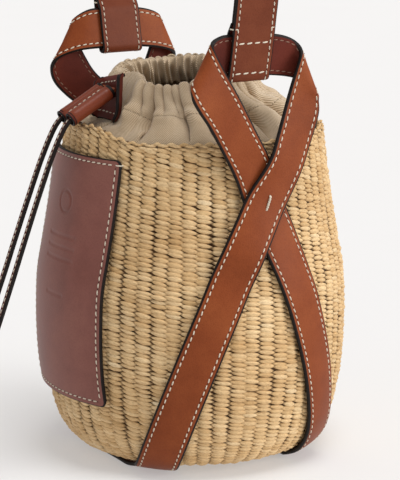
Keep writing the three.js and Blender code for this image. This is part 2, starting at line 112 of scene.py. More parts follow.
class Look:
    """A node material being built: add() makes a node and sets its inputs, to values or to other outputs."""

    def __init__(self, name, roughness, **sockets):
        self.material = bpy.data.materials.new(name)
        self.material.use_nodes = True
        self.tree = self.material.node_tree
        self.shader = self.tree.nodes["Principled BSDF"]
        self.shader.inputs["Roughness"].default_value = roughness
        for socket, value in sockets.items():
            self.shader.inputs[socket.replace("_", " ")].default_value = value

    def put(self, socket, value):
        if isinstance(value, bpy.types.NodeSocket):
            self.tree.links.new(value, socket)
        else:
            socket.default_value = value

    def add(self, kind, inputs=(), **settings):
        node = self.tree.nodes.new("ShaderNode" + kind)
        for key, value in settings.items():
            setattr(node, key, value)
        for key, value in dict(inputs).items():
            self.put(node.inputs[key], value)
        return node

    def coordinates(self, kind="Object", scale=(1, 1, 1)):
        source = self.add("TexCoord").outputs[kind]
        return self.add("Mapping", {"Vector": source, "Scale": scale}).outputs[0]

    def noise(self, vector, scale, detail=4, roughness=0.55):
        values = {"Vector": vector, "Scale": scale, "Detail": detail, "Roughness": roughness}
        return self.add("TexNoise", values).outputs["Fac"]

    def ramp(self, factor, stops):
        """Colours by position: three sRGB values up to 255, or four linear ones."""
        node = self.add("ValToRGB", {"Fac": factor})
        elements = node.color_ramp.elements
        while len(elements) < len(stops):
            elements.new(0.5)
        for element, (position, color) in zip(elements, stops.items()):
            element.position = position
            element.color = color if len(color) == 4 else srgb(*color)
        return node.outputs[0]

    def mix(self, factor, a, b, blend="MULTIPLY"):
        node = self.add("Mix", data_type="RGBA", blend_type=blend)
        for number, value in ((0, factor), (6, a), (7, b)):
            self.put(node.inputs[number], value)
        return node.outputs[2]

    def math(self, operation, a, b=0.0):
        return self.add("Math", {0: a, 1: b}, operation=operation).outputs[0]

    def attribute(self, name):
        return self.add("Attribute", attribute_name=name).outputs["Fac"]

    def color(self, value):
        self.put(self.shader.inputs["Base Color"], value)

    def roughness(self, factor, low, high):
        values = {0: factor, 3: low, 4: high}
        self.put(self.shader.inputs["Roughness"], self.add("MapRange", values).outputs[0])

    def bump(self, height, distance, strength=1.0):
        values = {"Height": height, "Distance": distance, "Strength": strength}
        self.put(self.shader.inputs["Normal"], self.add("Bump", values).outputs[0])


def straw_look():
    look = Look("straw", 0.62, Specular_IOR_Level=0.3)
    fibre = look.noise(look.coordinates("UV", (0.8, 5, 1)), 3.2, 5, 0.65)
    strand = look.ramp(look.attribute("tone"), {
        0: (203, 167, 116), 0.35: (227, 193, 143), 0.7: (239, 210, 164), 1: (246, 225, 187),
    })
    streaks = look.ramp(fibre, {0.3: (150, 112, 68), 0.56: (255, 251, 244)})
    color = look.mix(0.52, strand, streaks)
    patches = look.ramp(look.noise(look.coordinates(), 26, 3), {0.35: (226, 214, 196), 0.65: WHITE})
    color = look.mix(0.6, color, patches)
    # painted shade: the strand is mixed towards dark brown where it dives under its neighbours, along its
    # sides and on its underside
    look.color(look.mix(look.attribute("painted_shade"), color, srgb(78, 48, 26), "MIX"))
    look.roughness(fibre, 0.5, 0.78)
    look.bump(fibre, 0.0006, 0.9)
    return look.material


def speckled_look(name, roughness, scale, stops, stretch=1, detail=4, bump=None, gloss=None, **sockets):
    """One noise for the colour, the bump and, between two values of gloss, the roughness."""
    look = Look(name, roughness, **sockets)
    grain = look.noise(look.coordinates("Object", (1, 1, stretch)), scale, detail)
    look.color(look.ramp(grain, stops))
    if gloss:
        look.roughness(grain, *gloss)
    if bump:
        look.bump(grain, *bump)
    return look.material


def leather_look(name, dark, middle, light, roughness, shine=0.12):
    look = Look(name, roughness, Specular_IOR_Level=shine)
    vector = look.coordinates()
    cloud = look.noise(vector, 34, 5, 0.6)
    pores = look.add("TexVoronoi", {"Vector": vector, "Scale": 1350}, feature="SMOOTH_F1").outputs["Distance"]
    fine = look.noise(vector, 2600, 3)
    color = look.ramp(cloud, {0.25: dark, 0.5: middle, 0.78: light})
    look.color(look.mix(0.55, color, look.ramp(pores, {0.05: (214, 202, 196), 0.45: WHITE})))
    look.roughness(cloud, roughness - 0.05, roughness + 0.12)
    look.bump(look.math("ADD", pores, look.math("MULTIPLY", fine, 0.5)), 0.00011, 0.55)
    return look.material


def thread_look(name, dark, light):
    look = Look(name, 0.6)
    wave = {"Vector": look.coordinates("UV"), "Scale": 2.4, "Distortion": 1.2}
    plies = look.add("TexWave", wave).outputs["Fac"]
    look.color(look.ramp(plies, {0.1: dark, 0.7: light}))
    look.bump(plies, 0.00012, 0.7)
    return look.material


TWILL_RIB = 1.05
TWILL_YARN = 0.62


def canvas_look():
    look = Look("canvas_twill", 0.86, Sheen_Weight=0.25, Sheen_Roughness=0.5, Specular_IOR_Level=0.2)
    parts = look.add("SeparateXYZ", {0: look.coordinates("UV")})
    across, down = parts.outputs[0], parts.outputs[1]
    diagonal = look.math("ADD", across, look.math("MULTIPLY", down, 0.8))
    ribs = look.math("SINE", look.math("MULTIPLY", diagonal, math.tau / TWILL_RIB))
    steep = look.math("SUBTRACT", across, down)
    yarn = look.math("SINE", look.math("MULTIPLY", steep, math.tau / TWILL_YARN))
    weave = look.math("ADD", look.math("MULTIPLY", ribs, 0.36), look.math("MULTIPLY", yarn, 0.1))
    height = look.math("ADD", weave, 0.5)
    slub = look.noise(look.coordinates("UV", (0.06, 1.3, 1)), 1.6, 3)
    dirt = look.noise(look.coordinates(), 45, 4)
    color = look.ramp(height, {0.1: (152, 129, 100), 0.5: (208, 186, 157), 0.85: (226, 208, 182)})
    color = look.mix(0.8, color, look.ramp(dirt, {0.3: (232, 224, 212), 0.7: WHITE}))
    look.color(look.mix(0.25, color, look.ramp(slub, {0.35: (214, 202, 184), 0.7: WHITE})))
    look.bump(height, 0.00022, 0.8)
    return look.material


STRAW = straw_look()
SHELL = speckled_look("straw_shadow", 0.85, 190, {0.3: (52, 30, 14), 0.7: (112, 76, 40)}, 5, bump=(0.0008,))
LEATHER = leather_look("leather", (116, 54, 25), (131, 64, 32), (145, 76, 40), 0.42)
# a darker copy of the leather: painted shade over the handle strap
SHADED_HANDLE_LEATHER = leather_look("handle_leather_shaded", (98, 46, 27), (111, 55, 34), (124, 66, 42), 0.42)
PANEL_LEATHER = leather_look("panel_leather", (116, 67, 57), (130, 78, 68), (142, 90, 78), 0.44, 0.3)
SLIDER_LEATHER = leather_look("slider_leather", (108, 46, 25), (122, 54, 30), (136, 64, 37), 0.36, 0.28)
FLESH = leather_look("flesh_side", (78, 30, 22), (94, 39, 29), (108, 48, 36), 0.5)
EDGE = speckled_look(
    "edge_paint", 0.5, 420, {0.3: (13, 9, 8), 0.8: (33, 24, 20)},
    bump=(0.00025, 0.5), gloss=(0.42, 0.6), Specular_IOR_Level=0.2,
)
THREAD = thread_look("thread", (196, 180, 152), (240, 232, 214))
INNER_THREAD = thread_look("inner_thread", (112, 80, 64), (168, 132, 110))
CLOTH_THREAD = thread_look("canvas_thread", (150, 130, 102), (196, 176, 146))
# flat near-black discs in the stitch lines: painted shade in the needle holes
HOLE_SHADE = speckled_look("needle_hole_shade", 0.9, 1500, {0.3: (24, 12, 8), 0.8: (54, 26, 18)}, detail=2)
CANVAS = canvas_look()
LEATHER_SIDES = [LEATHER, EDGE, FLESH]

# ---- mesh helpers ----


def add_mesh(
    name, points, faces, materials, index=None, slot="leather", body="root", uv=None, values=(), stands_for=()
):
    """One piece from points in millimetres and faces of four corners.

    index is each face's material and uv one pair a point; values holds numbers for each point by name, and
    stands_for the CAD nodes that the piece takes the place of.
    """
    faces = np.asarray(faces, np.int32)
    co = metres(points).reshape(-1, 3)
    corner = co[faces]
    sides = np.cross(corner[:, 2] - corner[:, 0], corner[:, 3] - corner[:, 1])
    if (sides * (corner.mean(1) - co.mean(0))).sum() < 0:
        faces = faces[:, ::-1].copy()
    mesh = bpy.data.meshes.new(name)
    mesh.vertices.add(len(co))
    mesh.vertices.foreach_set("co", co.astype(np.float32).ravel())
    mesh.loops.add(faces.size)
    mesh.loops.foreach_set("vertex_index", faces.ravel())
    mesh.polygons.add(len(faces))
    mesh.polygons.foreach_set("loop_start", np.arange(0, faces.size, 4, dtype=np.int32))
    for material in materials:
        mesh.materials.append(material)
    if index is not None:
        mesh.polygons.foreach_set("material_index", np.asarray(index, np.int32))
    mesh.polygons.foreach_set("use_smooth", np.ones(len(faces), bool))
    if uv is not None:
        layer = mesh.uv_layers.new(name="UVMap")
        layer.data.foreach_set("uv", np.asarray(uv, np.float32).reshape(-1, 2)[faces.ravel()].ravel())
    for key, value in dict(values).items():
        numbers = np.asarray(value, np.float32).ravel()
        mesh.attributes.new(key, "FLOAT", "POINT").data.foreach_set("value", numbers)
    mesh.update(calc_edges=True)
    piece = new_object(name, mesh)
    if body:
        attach(piece, body)
    if stands_for:
        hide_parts(*stands_for)
    return piece


def tube_faces(rings, sides, looped=False):
    """Faces of a tube of rings of points; sides is even, and a strip of faces closes each open end."""
    i = np.arange(rings if looped else rings - 1)[:, None]
    j = np.arange(sides)[None, :]
    after, beside = (i + 1) % rings, (j + 1) % sides
    walls = np.stack([i * sides + j, i * sides + beside, after * sides + beside, after * sides + j], -1)
    faces = [walls.reshape(-1, 4)]
    if not looped:
        k = np.arange(sides // 2 - 1)
        cap = np.stack([k, k + 1, sides - 2 - k, sides - 1 - k], -1)
        faces += [cap[:, ::-1], cap + (rings - 1) * sides]
    return np.concatenate(faces)


def repeat_faces(faces, count, stride):
    """The faces of a shape repeated count times, with stride points in each copy."""
    return (faces[None] + stride * np.arange(count)[:, None, None]).reshape(-1, 4)


def copies(template, faces, origins, axes):
    """Points and faces of a template repeated at each origin, with its x, y and z along that copy's axes."""
    points = np.einsum("ti,nij->ntj", template, axes) + origins[:, None, :]
    return points.reshape(-1, 3), repeat_faces(faces, len(origins), len(template))


def turns(count):
    """Angles evenly round a full turn."""
    return np.arange(count) * 2 * np.pi / count


def circles(middles, first, second, radius, sides):
    """A circle of points round each middle, in the plane of two unit vectors."""
    cosine, sine = np.cos(turns(sides))[:, None], np.sin(turns(sides))[:, None]
    return middles[:, None] + radius * (cosine * first[..., None, :] + sine * second[..., None, :])


def unit(vectors):
    return vectors / np.maximum(np.linalg.norm(vectors, axis=-1, keepdims=True), 1e-9)


def smooth(x, start, end):
    t = np.clip((np.asarray(x, float) - start) / (end - start), 0, 1)
    return t * t * (3 - 2 * t)


def bell(x, width):
    return np.exp(-((x / width) ** 2))


def along(rows, t):
    """Catmull-Rom through rows of numbers; t counts rows."""
    rows = np.asarray(rows, float)
    last = len(rows) - 1
    t = np.asarray(t, float)
    i = np.clip(np.floor(t).astype(int), 0, last - 1)
    f = (t - i).reshape(t.shape + (1,) * (rows.ndim - 1))
    a, b = rows[np.clip(i - 1, 0, last)], rows[i]
    c, d = rows[i + 1], rows[np.clip(i + 2, 0, last)]
    return b + 0.5 * f * (c - a + f * (2 * a - 5 * b + 4 * c - d + f * (3 * (b - c) + d - a)))


def curve(rows, count):
    """A number of points evenly through the rows of a curve."""
    return along(rows, np.linspace(0, len(rows) - 1, count))


def sample(x, known, rows):
    """Rows of numbers read at x, from rows known at some places."""
    return np.stack([np.interp(x, known, column) for column in rows.T], -1)


def run_lengths(points):
    steps = np.linalg.norm(np.diff(points, axis=0), axis=1)
    return np.concatenate([[0], np.cumsum(steps)])


STATION_FINENESS = 24


def even_stations(rows, step):
    """Row positions about one step apart along the middle of rows of points."""
    t = np.linspace(0, len(rows) - 1, (len(rows) - 1) * STATION_FINENESS + 1)
    length = run_lengths(along(rows, t)[:, rows.shape[1] // 2])
    return np.interp(np.linspace(0, length[-1], int(length[-1] / step) + 1), length, t)


def mirror(points, side):
    return np.asarray(points, float) * [side, 1, 1]


def strip_rows(path, across, count):
    """Rows of points across a flat strip that is as wide as the vector across, along a path."""
    return np.stack([path + share * np.array(across) for share in np.linspace(-0.5, 0.5, count)], 1)


PLACES = (("right", 1), ("left", -1))

# ---- leather straps ----

EDGE_STEPS = 5
FACE_COLUMNS = 17
STITCH_INSET = 3.0
GROOVE_DEPTH = 0.22
GROOVE_WIDTH = 0.7
THREAD_SINK = 0.12
CROSS_SINK = 0.1


class Strap:
    """A strap of leather along rows of points across it, with rounded painted edges."""

    def __init__(self, rows, thickness, step=2.0, inset=STITCH_INSET):
        rows = np.asarray(rows, float)
        self.half = thickness / 2
        self.inset = inset
        grid = along(rows, even_stations(rows, step))
        self.width = np.linalg.norm(np.diff(grid, axis=1), axis=2).sum(1).mean()
        margin = self.half / self.width
        shares = np.linspace(margin, 1 - margin, FACE_COLUMNS)
        self.offsets = (shares - 0.5) * self.width
        self.points = along(grid.transpose(1, 0, 2), shares * (rows.shape[1] - 1)).transpose(1, 0, 2)
        self.across = unit(np.gradient(self.points, axis=1))
        self.normal = unit(np.cross(self.across, np.gradient(self.points, axis=0)))

    def edge(self, column, side, angles):
        middle = self.points[:, column][:, None]
        reach = self.half * np.cos(angles)[None, :, None] * side
        rise = self.half * np.sin(angles)[None, :, None]
        return middle + self.across[:, column][:, None] * reach + self.normal[:, column][:, None] * rise

    def rings(self):
        groove = GROOVE_DEPTH * bell(np.abs(self.offsets) - self.width / 2 + self.inset, GROOVE_WIDTH)
        height = (self.half - groove)[None, :, None]
        outer = self.points + self.normal * height
        inner = (self.points - self.normal * height)[:, ::-1]
        angles = np.linspace(np.pi / 2, -np.pi / 2, EDGE_STEPS + 2)[1:-1]
        right, left = self.edge(-1, 1, angles), self.edge(0, -1, angles[::-1])
        return np.concatenate([outer, right, inner, left], axis=1)

    def mesh(self, name, materials, body="root", stands_for=()):
        """The strap with a material for its outer face, its edges and ends, and its inner face."""
        rings = self.rings()
        count, sides = rings.shape[:2]
        faces = tube_faces(count, sides)
        inner_start = FACE_COLUMNS + EDGE_STEPS
        side_of = np.ones(sides, int)
        side_of[: FACE_COLUMNS - 1] = 0
        side_of[inner_start : inner_start + FACE_COLUMNS - 1] = 2
        walls = (count - 1) * sides
        index = np.concatenate([np.tile(side_of, count - 1), np.full(len(faces) - walls, 1)])
        return add_mesh(name, rings, faces, materials, index, body=body, stands_for=stands_for)

    def column(self, values, offset):
        share = np.interp(offset, self.offsets, np.arange(FACE_COLUMNS))
        low = int(min(share, FACE_COLUMNS - 2))
        return values[:, low] * (1 - share + low) + values[:, low + 1] * (share - low)

    def line(self, offset, side=1):
        """A line along the strap at an offset from its middle, on its outer (1) or inner (-1) face."""
        normal = unit(self.column(self.normal, offset)) * side
        return self.column(self.points, offset) + normal * (self.half - THREAD_SINK), normal

    def cross_line(self, row, reach, count):
        """A line across the outer face at one of its rows."""
        points = self.points[row] + self.normal[row] * (self.half - CROSS_SINK)
        points = sample(np.linspace(-reach, reach, count), self.offsets, points)
        return points, np.broadcast_to(self.normal[row, FACE_COLUMNS // 2], points.shape)


# ---- stitches ----

THREAD_SIDES = 8
THREAD_RINGS = 7
HOLE_SIDES = 6
HOLE_RINGS = 4
WRAP_RINGS = 22
FLOOR_GAP = 0.03


def spaced(points, normals, pitch, skip):
    """Places at an even pitch along a line: middles, tangents and normals."""
    length = run_lengths(points)
    run = length[-1] - 2 * skip
    count = max(int(run / pitch), 1)
    at = skip + run * (np.arange(count) + 0.5) / count
    tangent = unit(sample(at + 0.6, length, points) - sample(at - 0.6, length, points))
    return sample(at, length, points), tangent, unit(sample(at, length, normals))


def bead(half_length, radius, rings, sides, fullness, flatness, arch=0.0, fall=0.0):
    """A rounded length of thread along x, flat or arched, as points and faces."""
    u = np.linspace(-1, 1, rings)[:, None]
    swell = radius * np.sqrt(np.minimum(fullness - u**2, 1))
    y, z = swell * np.cos(turns(sides)), flatness * swell * np.sin(turns(sides))
    points = np.stack([np.broadcast_to(u * half_length, y.shape), y, z + (arch - fall * u**4) * radius], -1)
    return points.reshape(-1, 3), tube_faces(rings, sides)


def stitches(name, lines, body="root", pitch=4.2, fill=0.72, radius=0.42, slant=0.1, skip=1.5, yarn=THREAD):
    """Stitches along several lines of (points, normals), with a flat near-black disc between each two:
    painted shade for the needle hole.
    """
    points, faces, index, uv, start = [], [], [], [], 0
    for line, normals in lines:
        origin, tangent, normal = spaced(line, normals, pitch, skip)
        angle = slant + rng.normal(0, 0.03, len(origin))[:, None]
        ahead = tangent * np.cos(angle) + np.cross(normal, tangent) * np.sin(angle)
        axes = np.stack([ahead, np.cross(normal, ahead), normal], 1)
        step = np.linalg.norm(origin[1] - origin[0]) if len(origin) > 1 else pitch
        bit = bead(step * fill / 2, radius, THREAD_RINGS, THREAD_SIDES, 1.08, 0.85, 0.28, 0.75)
        hole = bead(radius * 0.95, radius * 0.95, HOLE_RINGS, HOLE_SIDES, 1.05, 0.28)
        thread = copies(*bit, origin, axes)
        holes = copies(*hole, origin + tangent * step / 2, axes)
        for material, sides, (new_points, new_faces) in ((0, THREAD_SIDES, thread), (1, HOLE_SIDES, holes)):
            number = np.arange(len(new_points))
            points.append(new_points)
            faces.append(new_faces + start)
            index.append(np.full(len(new_faces), material))
            uv.append(np.stack([number // sides * 0.35, number % sides * 0.2], -1))
            start += len(new_points)
    points, faces, index, uv = (np.concatenate(parts) for parts in (points, faces, index, uv))
    # under the base the thread is pressed flat by the bag's weight
    points[:, 2] = np.maximum(points[:, 2], FLOOR_GAP)
    return add_mesh(name, points, faces, [yarn, HOLE_SHADE], index, "thread", body, uv)


def add_thread(name, points, faces, winding, body="root", stands_for=()):
    """Thread that isn't a row of stitches, with its plies running on by the winding at each point."""
    number = np.arange(len(points))
    uv = np.stack([number * winding, number % THREAD_SIDES * 0.2], -1)
    return add_mesh(name, points, faces, [THREAD], slot="thread", body=body, uv=uv, stands_for=stands_for)


def edge_loop():
    """A tight thread's way round an edge: its angle, and how far across and through it is, from -1 to 1."""
    turn = turns(WRAP_RINGS)
    across, through = (np.sign(share) * np.abs(share) ** 0.6 for share in (np.cos(turn), np.sin(turn)))
    return turn, across, through


def wound(name, paths, radius, body="root"):
    """Closed loops of thread along paths that each go round an edge."""
    points = []
    for path in paths:
        ahead = unit(np.roll(path, -1, 0) - np.roll(path, 1, 0))
        up = unit(UP - ahead * ahead[:, 2:])
        points.append(circles(path, up, np.cross(ahead, up), radius, THREAD_SIDES).reshape(-1, 3))
    faces = tube_faces(WRAP_RINGS, THREAD_SIDES, looped=True)
    faces = repeat_faces(faces, len(paths), WRAP_RINGS * THREAD_SIDES)
    return add_thread(name, np.concatenate(points), faces, 0.04, body)


def lathe(name, outline, origin, axis, materials, sides=24, index_of=None, **piece):
    """A turned piece: outline is (length along the axis, radius), a closed or open profile."""
    outline = np.asarray(outline, float)
    axis = unit(np.asarray(axis, float))
    helper = np.array([1.0, 0, 0]) if abs(axis[0]) < 0.8 else np.array([0, 1.0, 0])
    beside = unit(np.cross(axis, helper))
    looped = np.allclose(outline[0], outline[-1])
    outline = outline[:-1] if looped else outline
    middles = np.asarray(origin) + outline[:, :1] * axis
    points = circles(middles, beside, np.cross(axis, beside), outline[:, 1:, None], sides)
    faces = tube_faces(len(points), sides, looped)
    index = None
    if index_of:
        rows = len(points) if looped else len(points) - 1
        index = np.zeros(len(faces), int)
        index[: rows * sides] = np.repeat([index_of(k) for k in range(rows)], sides)
    return add_mesh(name, points, faces, materials, index, **piece)


# ---- free cords ----

CORD_X = 5.6
CORD_WIDTH = 4.4
CORD_THICKNESS = 2.4
TAIL_ROUTE = np.array([
    [5.6, -84.6, 218], [5.6, -89.2, 215.3], [5.7, -93.2, 210.9], [5.8, -97.9, 202.4],
    [5.9, -103.2, 190.8], [6, -106.6, 182.4], [6, -109.9, 174], [6.1, -114, 163.4],
    [6.2, -118, 152.8], [6.3, -122.8, 140], [6.4, -127.6, 127], [6.6, -132.4, 114.4],
    [6.7, -137.2, 101.8], [6.9, -141.9, 89.8], [7, -146.2, 78], [7.2, -152.9, 56.4], [7.4, -156.8, 41.6],
])
TIP_OUTLINE = [
    (0.1, 1.2), (0.9, 2.5), (2.0, 3.1), (3.0, 2.7), (3.9, 3.2), (6, 3.35), (8.2, 3.2), (9.2, 2.7),
    (10.2, 3.1), (11.6, 2.6), (12.6, 1.5), (12.9, 0.5),
]
TIP_BANDS = (2, 7)


def make_tails():
    for place, side in PLACES:
        route = mirror(TAIL_ROUTE, side)
        strip = Strap(strip_rows(route, [CORD_WIDTH, 0, 0], 3), CORD_THICKNESS, 2.0, CORD_WIDTH / 2)
        tail = strip.mesh(f"tail_{place}", LEATHER_SIDES, "slider", [f"cord_tail_{place}"])
        # the inner face is the one to the front
        thread = stitches(f"tail_thread_{place}", [strip.line(0.0, -1)], "slider", 3.6, 0.74, 0.4, 0.04)
        tip = lathe(
            f"tail_tip_{place}", TIP_OUTLINE, route[-1], route[-1] - route[-2], [LEATHER, EDGE],
            index_of=lambda k: int(k in TIP_BANDS), body="slider", stands_for=[f"cord_tip_{place}"],
        )


make_tails()

# ---- basket surface: by length up the profile and angle from the front ----

BASKET_PROFILE = [
    [64, 3.6], [75, 7.8], [83, 16], [88.5, 27], [92, 42], [94.5, 60], [95.5, 78],
    [95.5, 95], [94.5, 115], [91, 135], [87, 158], [83.5, 182], [81, 203.5],
]
BASE_RADIUS, BASE_HEIGHT = BASKET_PROFILE[0]
WALL_THICKNESS = 4.5
RIM_HEIGHT = 203.9
RIM_RISE = 7
RIM_RISE_START = 150
RIM_RISE_HALF_ANGLE = math.radians(34)
RIM_RISE_FLAT_SHARE = 0.25

profile = curve(BASKET_PROFILE, 241)
profile_length = run_lengths(profile)
PROFILE_END = profile_length[-1]
profile_up = unit(np.gradient(profile, axis=0))


def on_profile(s):
    """Radius and height at a length up the profile, and the way out from there as radius and height."""
    s = np.clip(s, 0, PROFILE_END)
    columns = (profile[:, 0], profile[:, 1], profile_up[:, 1], -profile_up[:, 0])
    return [np.interp(s, profile_length, column) for column in columns]


def length_at(height):
    return float(np.interp(height, profile[:, 1], profile_length))


def round_axis(radius, angle, height):
    return np.stack([radius * np.sin(angle), -radius * np.cos(angle), height], -1)


def on_wall(s, angle, offset=0.0):
    r, z, out, up = on_profile(s)
    return round_axis(r + offset * out, angle, z + offset * up)


def raise_rim(points):
    """The rim rises a little at the front, and the rows of the weave below it spread to follow."""
    angle = np.abs(np.arctan2(points[..., 0], -points[..., 1]))
    rise = 1 - smooth(angle, RIM_RISE_FLAT_SHARE * RIM_RISE_HALF_ANGLE, RIM_RISE_HALF_ANGLE)
    points = points.copy()
    points[..., 2] += RIM_RISE * rise * smooth(points[..., 2], RIM_RISE_START, RIM_HEIGHT)
    return points


# ---- twined weave ----

STAKES = 62
STAKE_TURN = 2 * np.pi / STAKES
ROW_PITCH = 2.75
BULGE_RINGS = 11
BULGE_SIDES = 8
BULGE_HEIGHT = 1.45
BULGE_HALF_LENGTH = 0.74
BASE_ROWS = 21
SLANT = 0.32
WALL_BANDS = 4


def add_weave(
    name, nodes, surface, along_row, up_row, half_length, half_width, slant=SLANT, swell=BULGE_HEIGHT
):
    """Twined strands, one bulge a stake and row, on a surface(a, b, offset) with a along the row and b up it.

    along_row and up_row hold each bulge's middle, half_length and half_width its size in the same units.
    """
    count = len(along_row)
    u = np.linspace(-1, 1, BULGE_RINGS)[None]
    turn = turns(BULGE_SIDES)

    def jitter(spread):
        return rng.normal(0, spread, count)[:, None]

    length = half_length[:, None] * (1 + jitter(0.05))
    taper = 1 - 0.95 * np.abs(u) ** (1.25 + np.abs(jitter(0.2)))
    width = half_width[:, None] * (1 + jitter(0.1)) * taper
    bow = 0.1 * (1 - u**2) * jitter(1)
    middle = up_row[:, None] + half_width[:, None] * (-2 * (slant + jitter(0.05)) * u + bow + jitter(0.05))
    height = swell * (1 + jitter(0.12)) * (0.3 + 0.7 * taper)
    sink = -swell * (1.02 + jitter(0.1)) - 1.2 * np.abs(u) ** 3
    a = along_row[:, None, None] + (length * (u + jitter(0.03)))[:, :, None] + 0 * turn
    b = middle[:, :, None] + width[:, :, None] * np.cos(turn)
    rise = np.sin(turn)
    offset = sink[:, :, None] + height[:, :, None] * np.where(rise > 0, rise, 0.6 * rise)

    # the look gives each strand a tone and its own grain, and painted shade: dark where the strand goes under
    # its neighbours, along its sides and on its underside
    tone = np.clip(0.5 + 0.13 * rng.normal(0, 1, count), 0, 1)
    ahead = np.broadcast_to(u[:, :, None], a.shape)
    side = np.broadcast_to(np.abs(np.cos(turn)), a.shape)
    painted_shade = smooth(np.abs(ahead), 0.6, 0.92) * 0.85 + 0.1 * smooth(side, 0.85, 1.0) + 0.5 * (rise < -0.1)
    seat = rng.uniform(0, 9, (count, 1, 1))
    uv = np.stack([ahead + seat, np.broadcast_to(turn / np.pi, a.shape) * 0.5 + seat * 1.7], -1)
    stride = BULGE_RINGS * BULGE_SIDES
    values = {"tone": np.repeat(tone, stride), "painted_shade": np.clip(painted_shade, 0, 1)}
    faces = repeat_faces(tube_faces(BULGE_RINGS, BULGE_SIDES), count, stride)
    points = surface(a, b, offset)
    add_mesh(name, points, faces, [STRAW], slot="straw", uv=uv, values=values, stands_for=nodes)


def wall_surface(a, b, offset):
    return raise_rim(on_wall(b, a, offset))


def make_wall_weave():
    rows = int(PROFILE_END / ROW_PITCH)
    pitch = PROFILE_END / rows
    stake_lean = rng.normal(0, 0.004, STAKES)
    row_shift = np.cumsum(rng.normal(0, 0.05, rows))
    for number, band in enumerate(np.array_split(np.arange(rows), WALL_BANDS)):
        row, stake = (grid.ravel() for grid in np.meshgrid(band, np.arange(STAKES), indexing="ij"))
        angle = stake * STAKE_TURN + 0.005 * np.sin(row * 0.21 + stake * 1.7) + stake_lean[stake]
        wave = 0.5 * np.sin(3 * angle + row * 0.05) + 0.25 * np.sin(7 * angle + row_shift[row])
        s = (row + 0.5) * pitch + wave * smooth(row, 2, 8)
        half_length = np.full(len(row), STAKE_TURN * BULGE_HALF_LENGTH)
        half_width = pitch * (0.68 + 0.06 * smooth(s, length_at(150), length_at(200)))
        nodes = [] if number else ["woven_wall"]
        add_weave(f"weave_band_{number + 1}", nodes, wall_surface, angle, s, half_length, half_width)


def make_wall_shell():
    """The stakes and the inside of the weave, seen only between the strands."""
    sides = 240
    s, angle = np.meshgrid(np.linspace(0, PROFILE_END - 0.6, 60), turns(sides), indexing="ij")
    outer = on_wall(s, angle, -2.0 + 0.55 * np.cos(angle * STAKES))
    inner = on_wall(s, angle, -WALL_THICKNESS)[::-1]
    rings = raise_rim(np.concatenate([outer, inner]))
    add_mesh("weave_inside", rings, tube_faces(len(rings), sides, looped=True), [SHELL], slot="straw")


def base_surface(a, b, offset):
    """a is an angle, b the distance in from the edge of the base, and the outer side faces down."""
    return round_axis(BASE_RADIUS - b, a, BASE_HEIGHT - offset)


def make_base():
    angle, reach, half_length = [], [], []
    for b in (np.arange(BASE_ROWS) + 0.5) * ROW_PITCH:
        radius = BASE_RADIUS - b
        stakes = STAKES if radius > 34 else STAKES // 2 if radius > 15 else STAKES // 5
        turn = 2 * np.pi / stakes
        angle += [turn * (k + 0.5 * (stakes != STAKES)) for k in range(stakes)]
        reach += [b] * stakes
        half_length += [turn * BULGE_HALF_LENGTH] * stakes
    strands = np.array([angle, reach, half_length, [ROW_PITCH * 0.56] * len(angle)])
    add_weave("weave_base", ["woven_base"], base_surface, *strands)
    outline = [(0, 1), (0, 40), (0, 62), (0.8, 64.5), (2.4, 63), (2.8, 40), (2.8, 1)]
    lathe("weave_base_inside", outline, [0, 0, 5.2], UP, [SHELL], 96, slot="straw", stands_for=["woven_base"])


BORDER_MIDDLE = (78.9, 203.9)
BORDER_RADIUS = 2.7
BORDER_ROWS = np.array([-4.3, -0.8, 2.7, 6.0])


def border_surface(a, b, offset):
    """Over the rim: a is an angle, b the distance from the top of the rim inwards."""
    radius, height = BORDER_MIDDLE
    reach, turn = BORDER_RADIUS + offset, b / BORDER_RADIUS
    return raise_rim(round_axis(radius - reach * np.sin(turn), a, height + reach * np.cos(turn)))


def make_rim_border():
    """Strands twined over the rim in rows, each row half a stake on from the last."""
    row, stake = (grid.ravel() for grid in np.meshgrid(range(len(BORDER_ROWS)), range(STAKES), indexing="ij"))
    angle = (stake + 0.5 * (row % 2) + rng.normal(0, 0.05, len(row))) * STAKE_TURN
    reach = BORDER_ROWS[row] + rng.normal(0, 0.18, len(row))
    half_length, half_width = np.full(len(row), STAKE_TURN * 0.57), np.full(len(row), 2.25)
    nodes = ["woven_rim_border"]
    add_weave("rim_border", nodes, border_surface, angle, -reach, half_length, half_width, 0.24, 2.6)


def make_frayed_ends():
    """Thin ends of grass that stand a little off the weave."""
    rings, sides, count = 6, 4, 150
    t = np.linspace(0, 1, rings)
    thickness = 0.16 * (1 - 0.75 * t)[:, None, None]
    points, uv = [], []
    for _ in range(count):
        angle = rng.uniform(0, 2 * np.pi)
        s = rng.uniform(6, PROFILE_END - 2) if rng.uniform() < 0.7 else PROFILE_END - rng.uniform(0, 5)
        reach = rng.uniform(2, 6) * t
        heading = rng.uniform(-0.7, 0.7)
        lift = rng.uniform(0.3, 1.5) * t**1.5 - 0.6
        middle = wall_surface(angle + reach * np.cos(heading) / 90, s + reach * np.sin(heading), lift)
        tangent = unit(np.gradient(middle, axis=0))
        side = unit(np.cross(tangent, unit(middle * [1, 1, 0])))
        points.append(circles(middle, side, np.cross(side, tangent), thickness, sides))
        uv.append(rng.uniform(0, 9, (rings * sides, 2)))
    total = count * rings * sides
    faces = repeat_faces(tube_faces(rings, sides), count, rings * sides)
    values = {"tone": np.full(total, 0.75), "painted_shade": np.zeros(total)}
    add_mesh("frayed_ends", np.stack(points), faces, [STRAW], slot="straw", uv=np.stack(uv), values=values)


make_wall_weave()
make_wall_shell()
make_base()
make_rim_border()
make_frayed_ends()

# ---- ribbon straps: one leather ribbon on each side, from under the base over the bridge and back ----

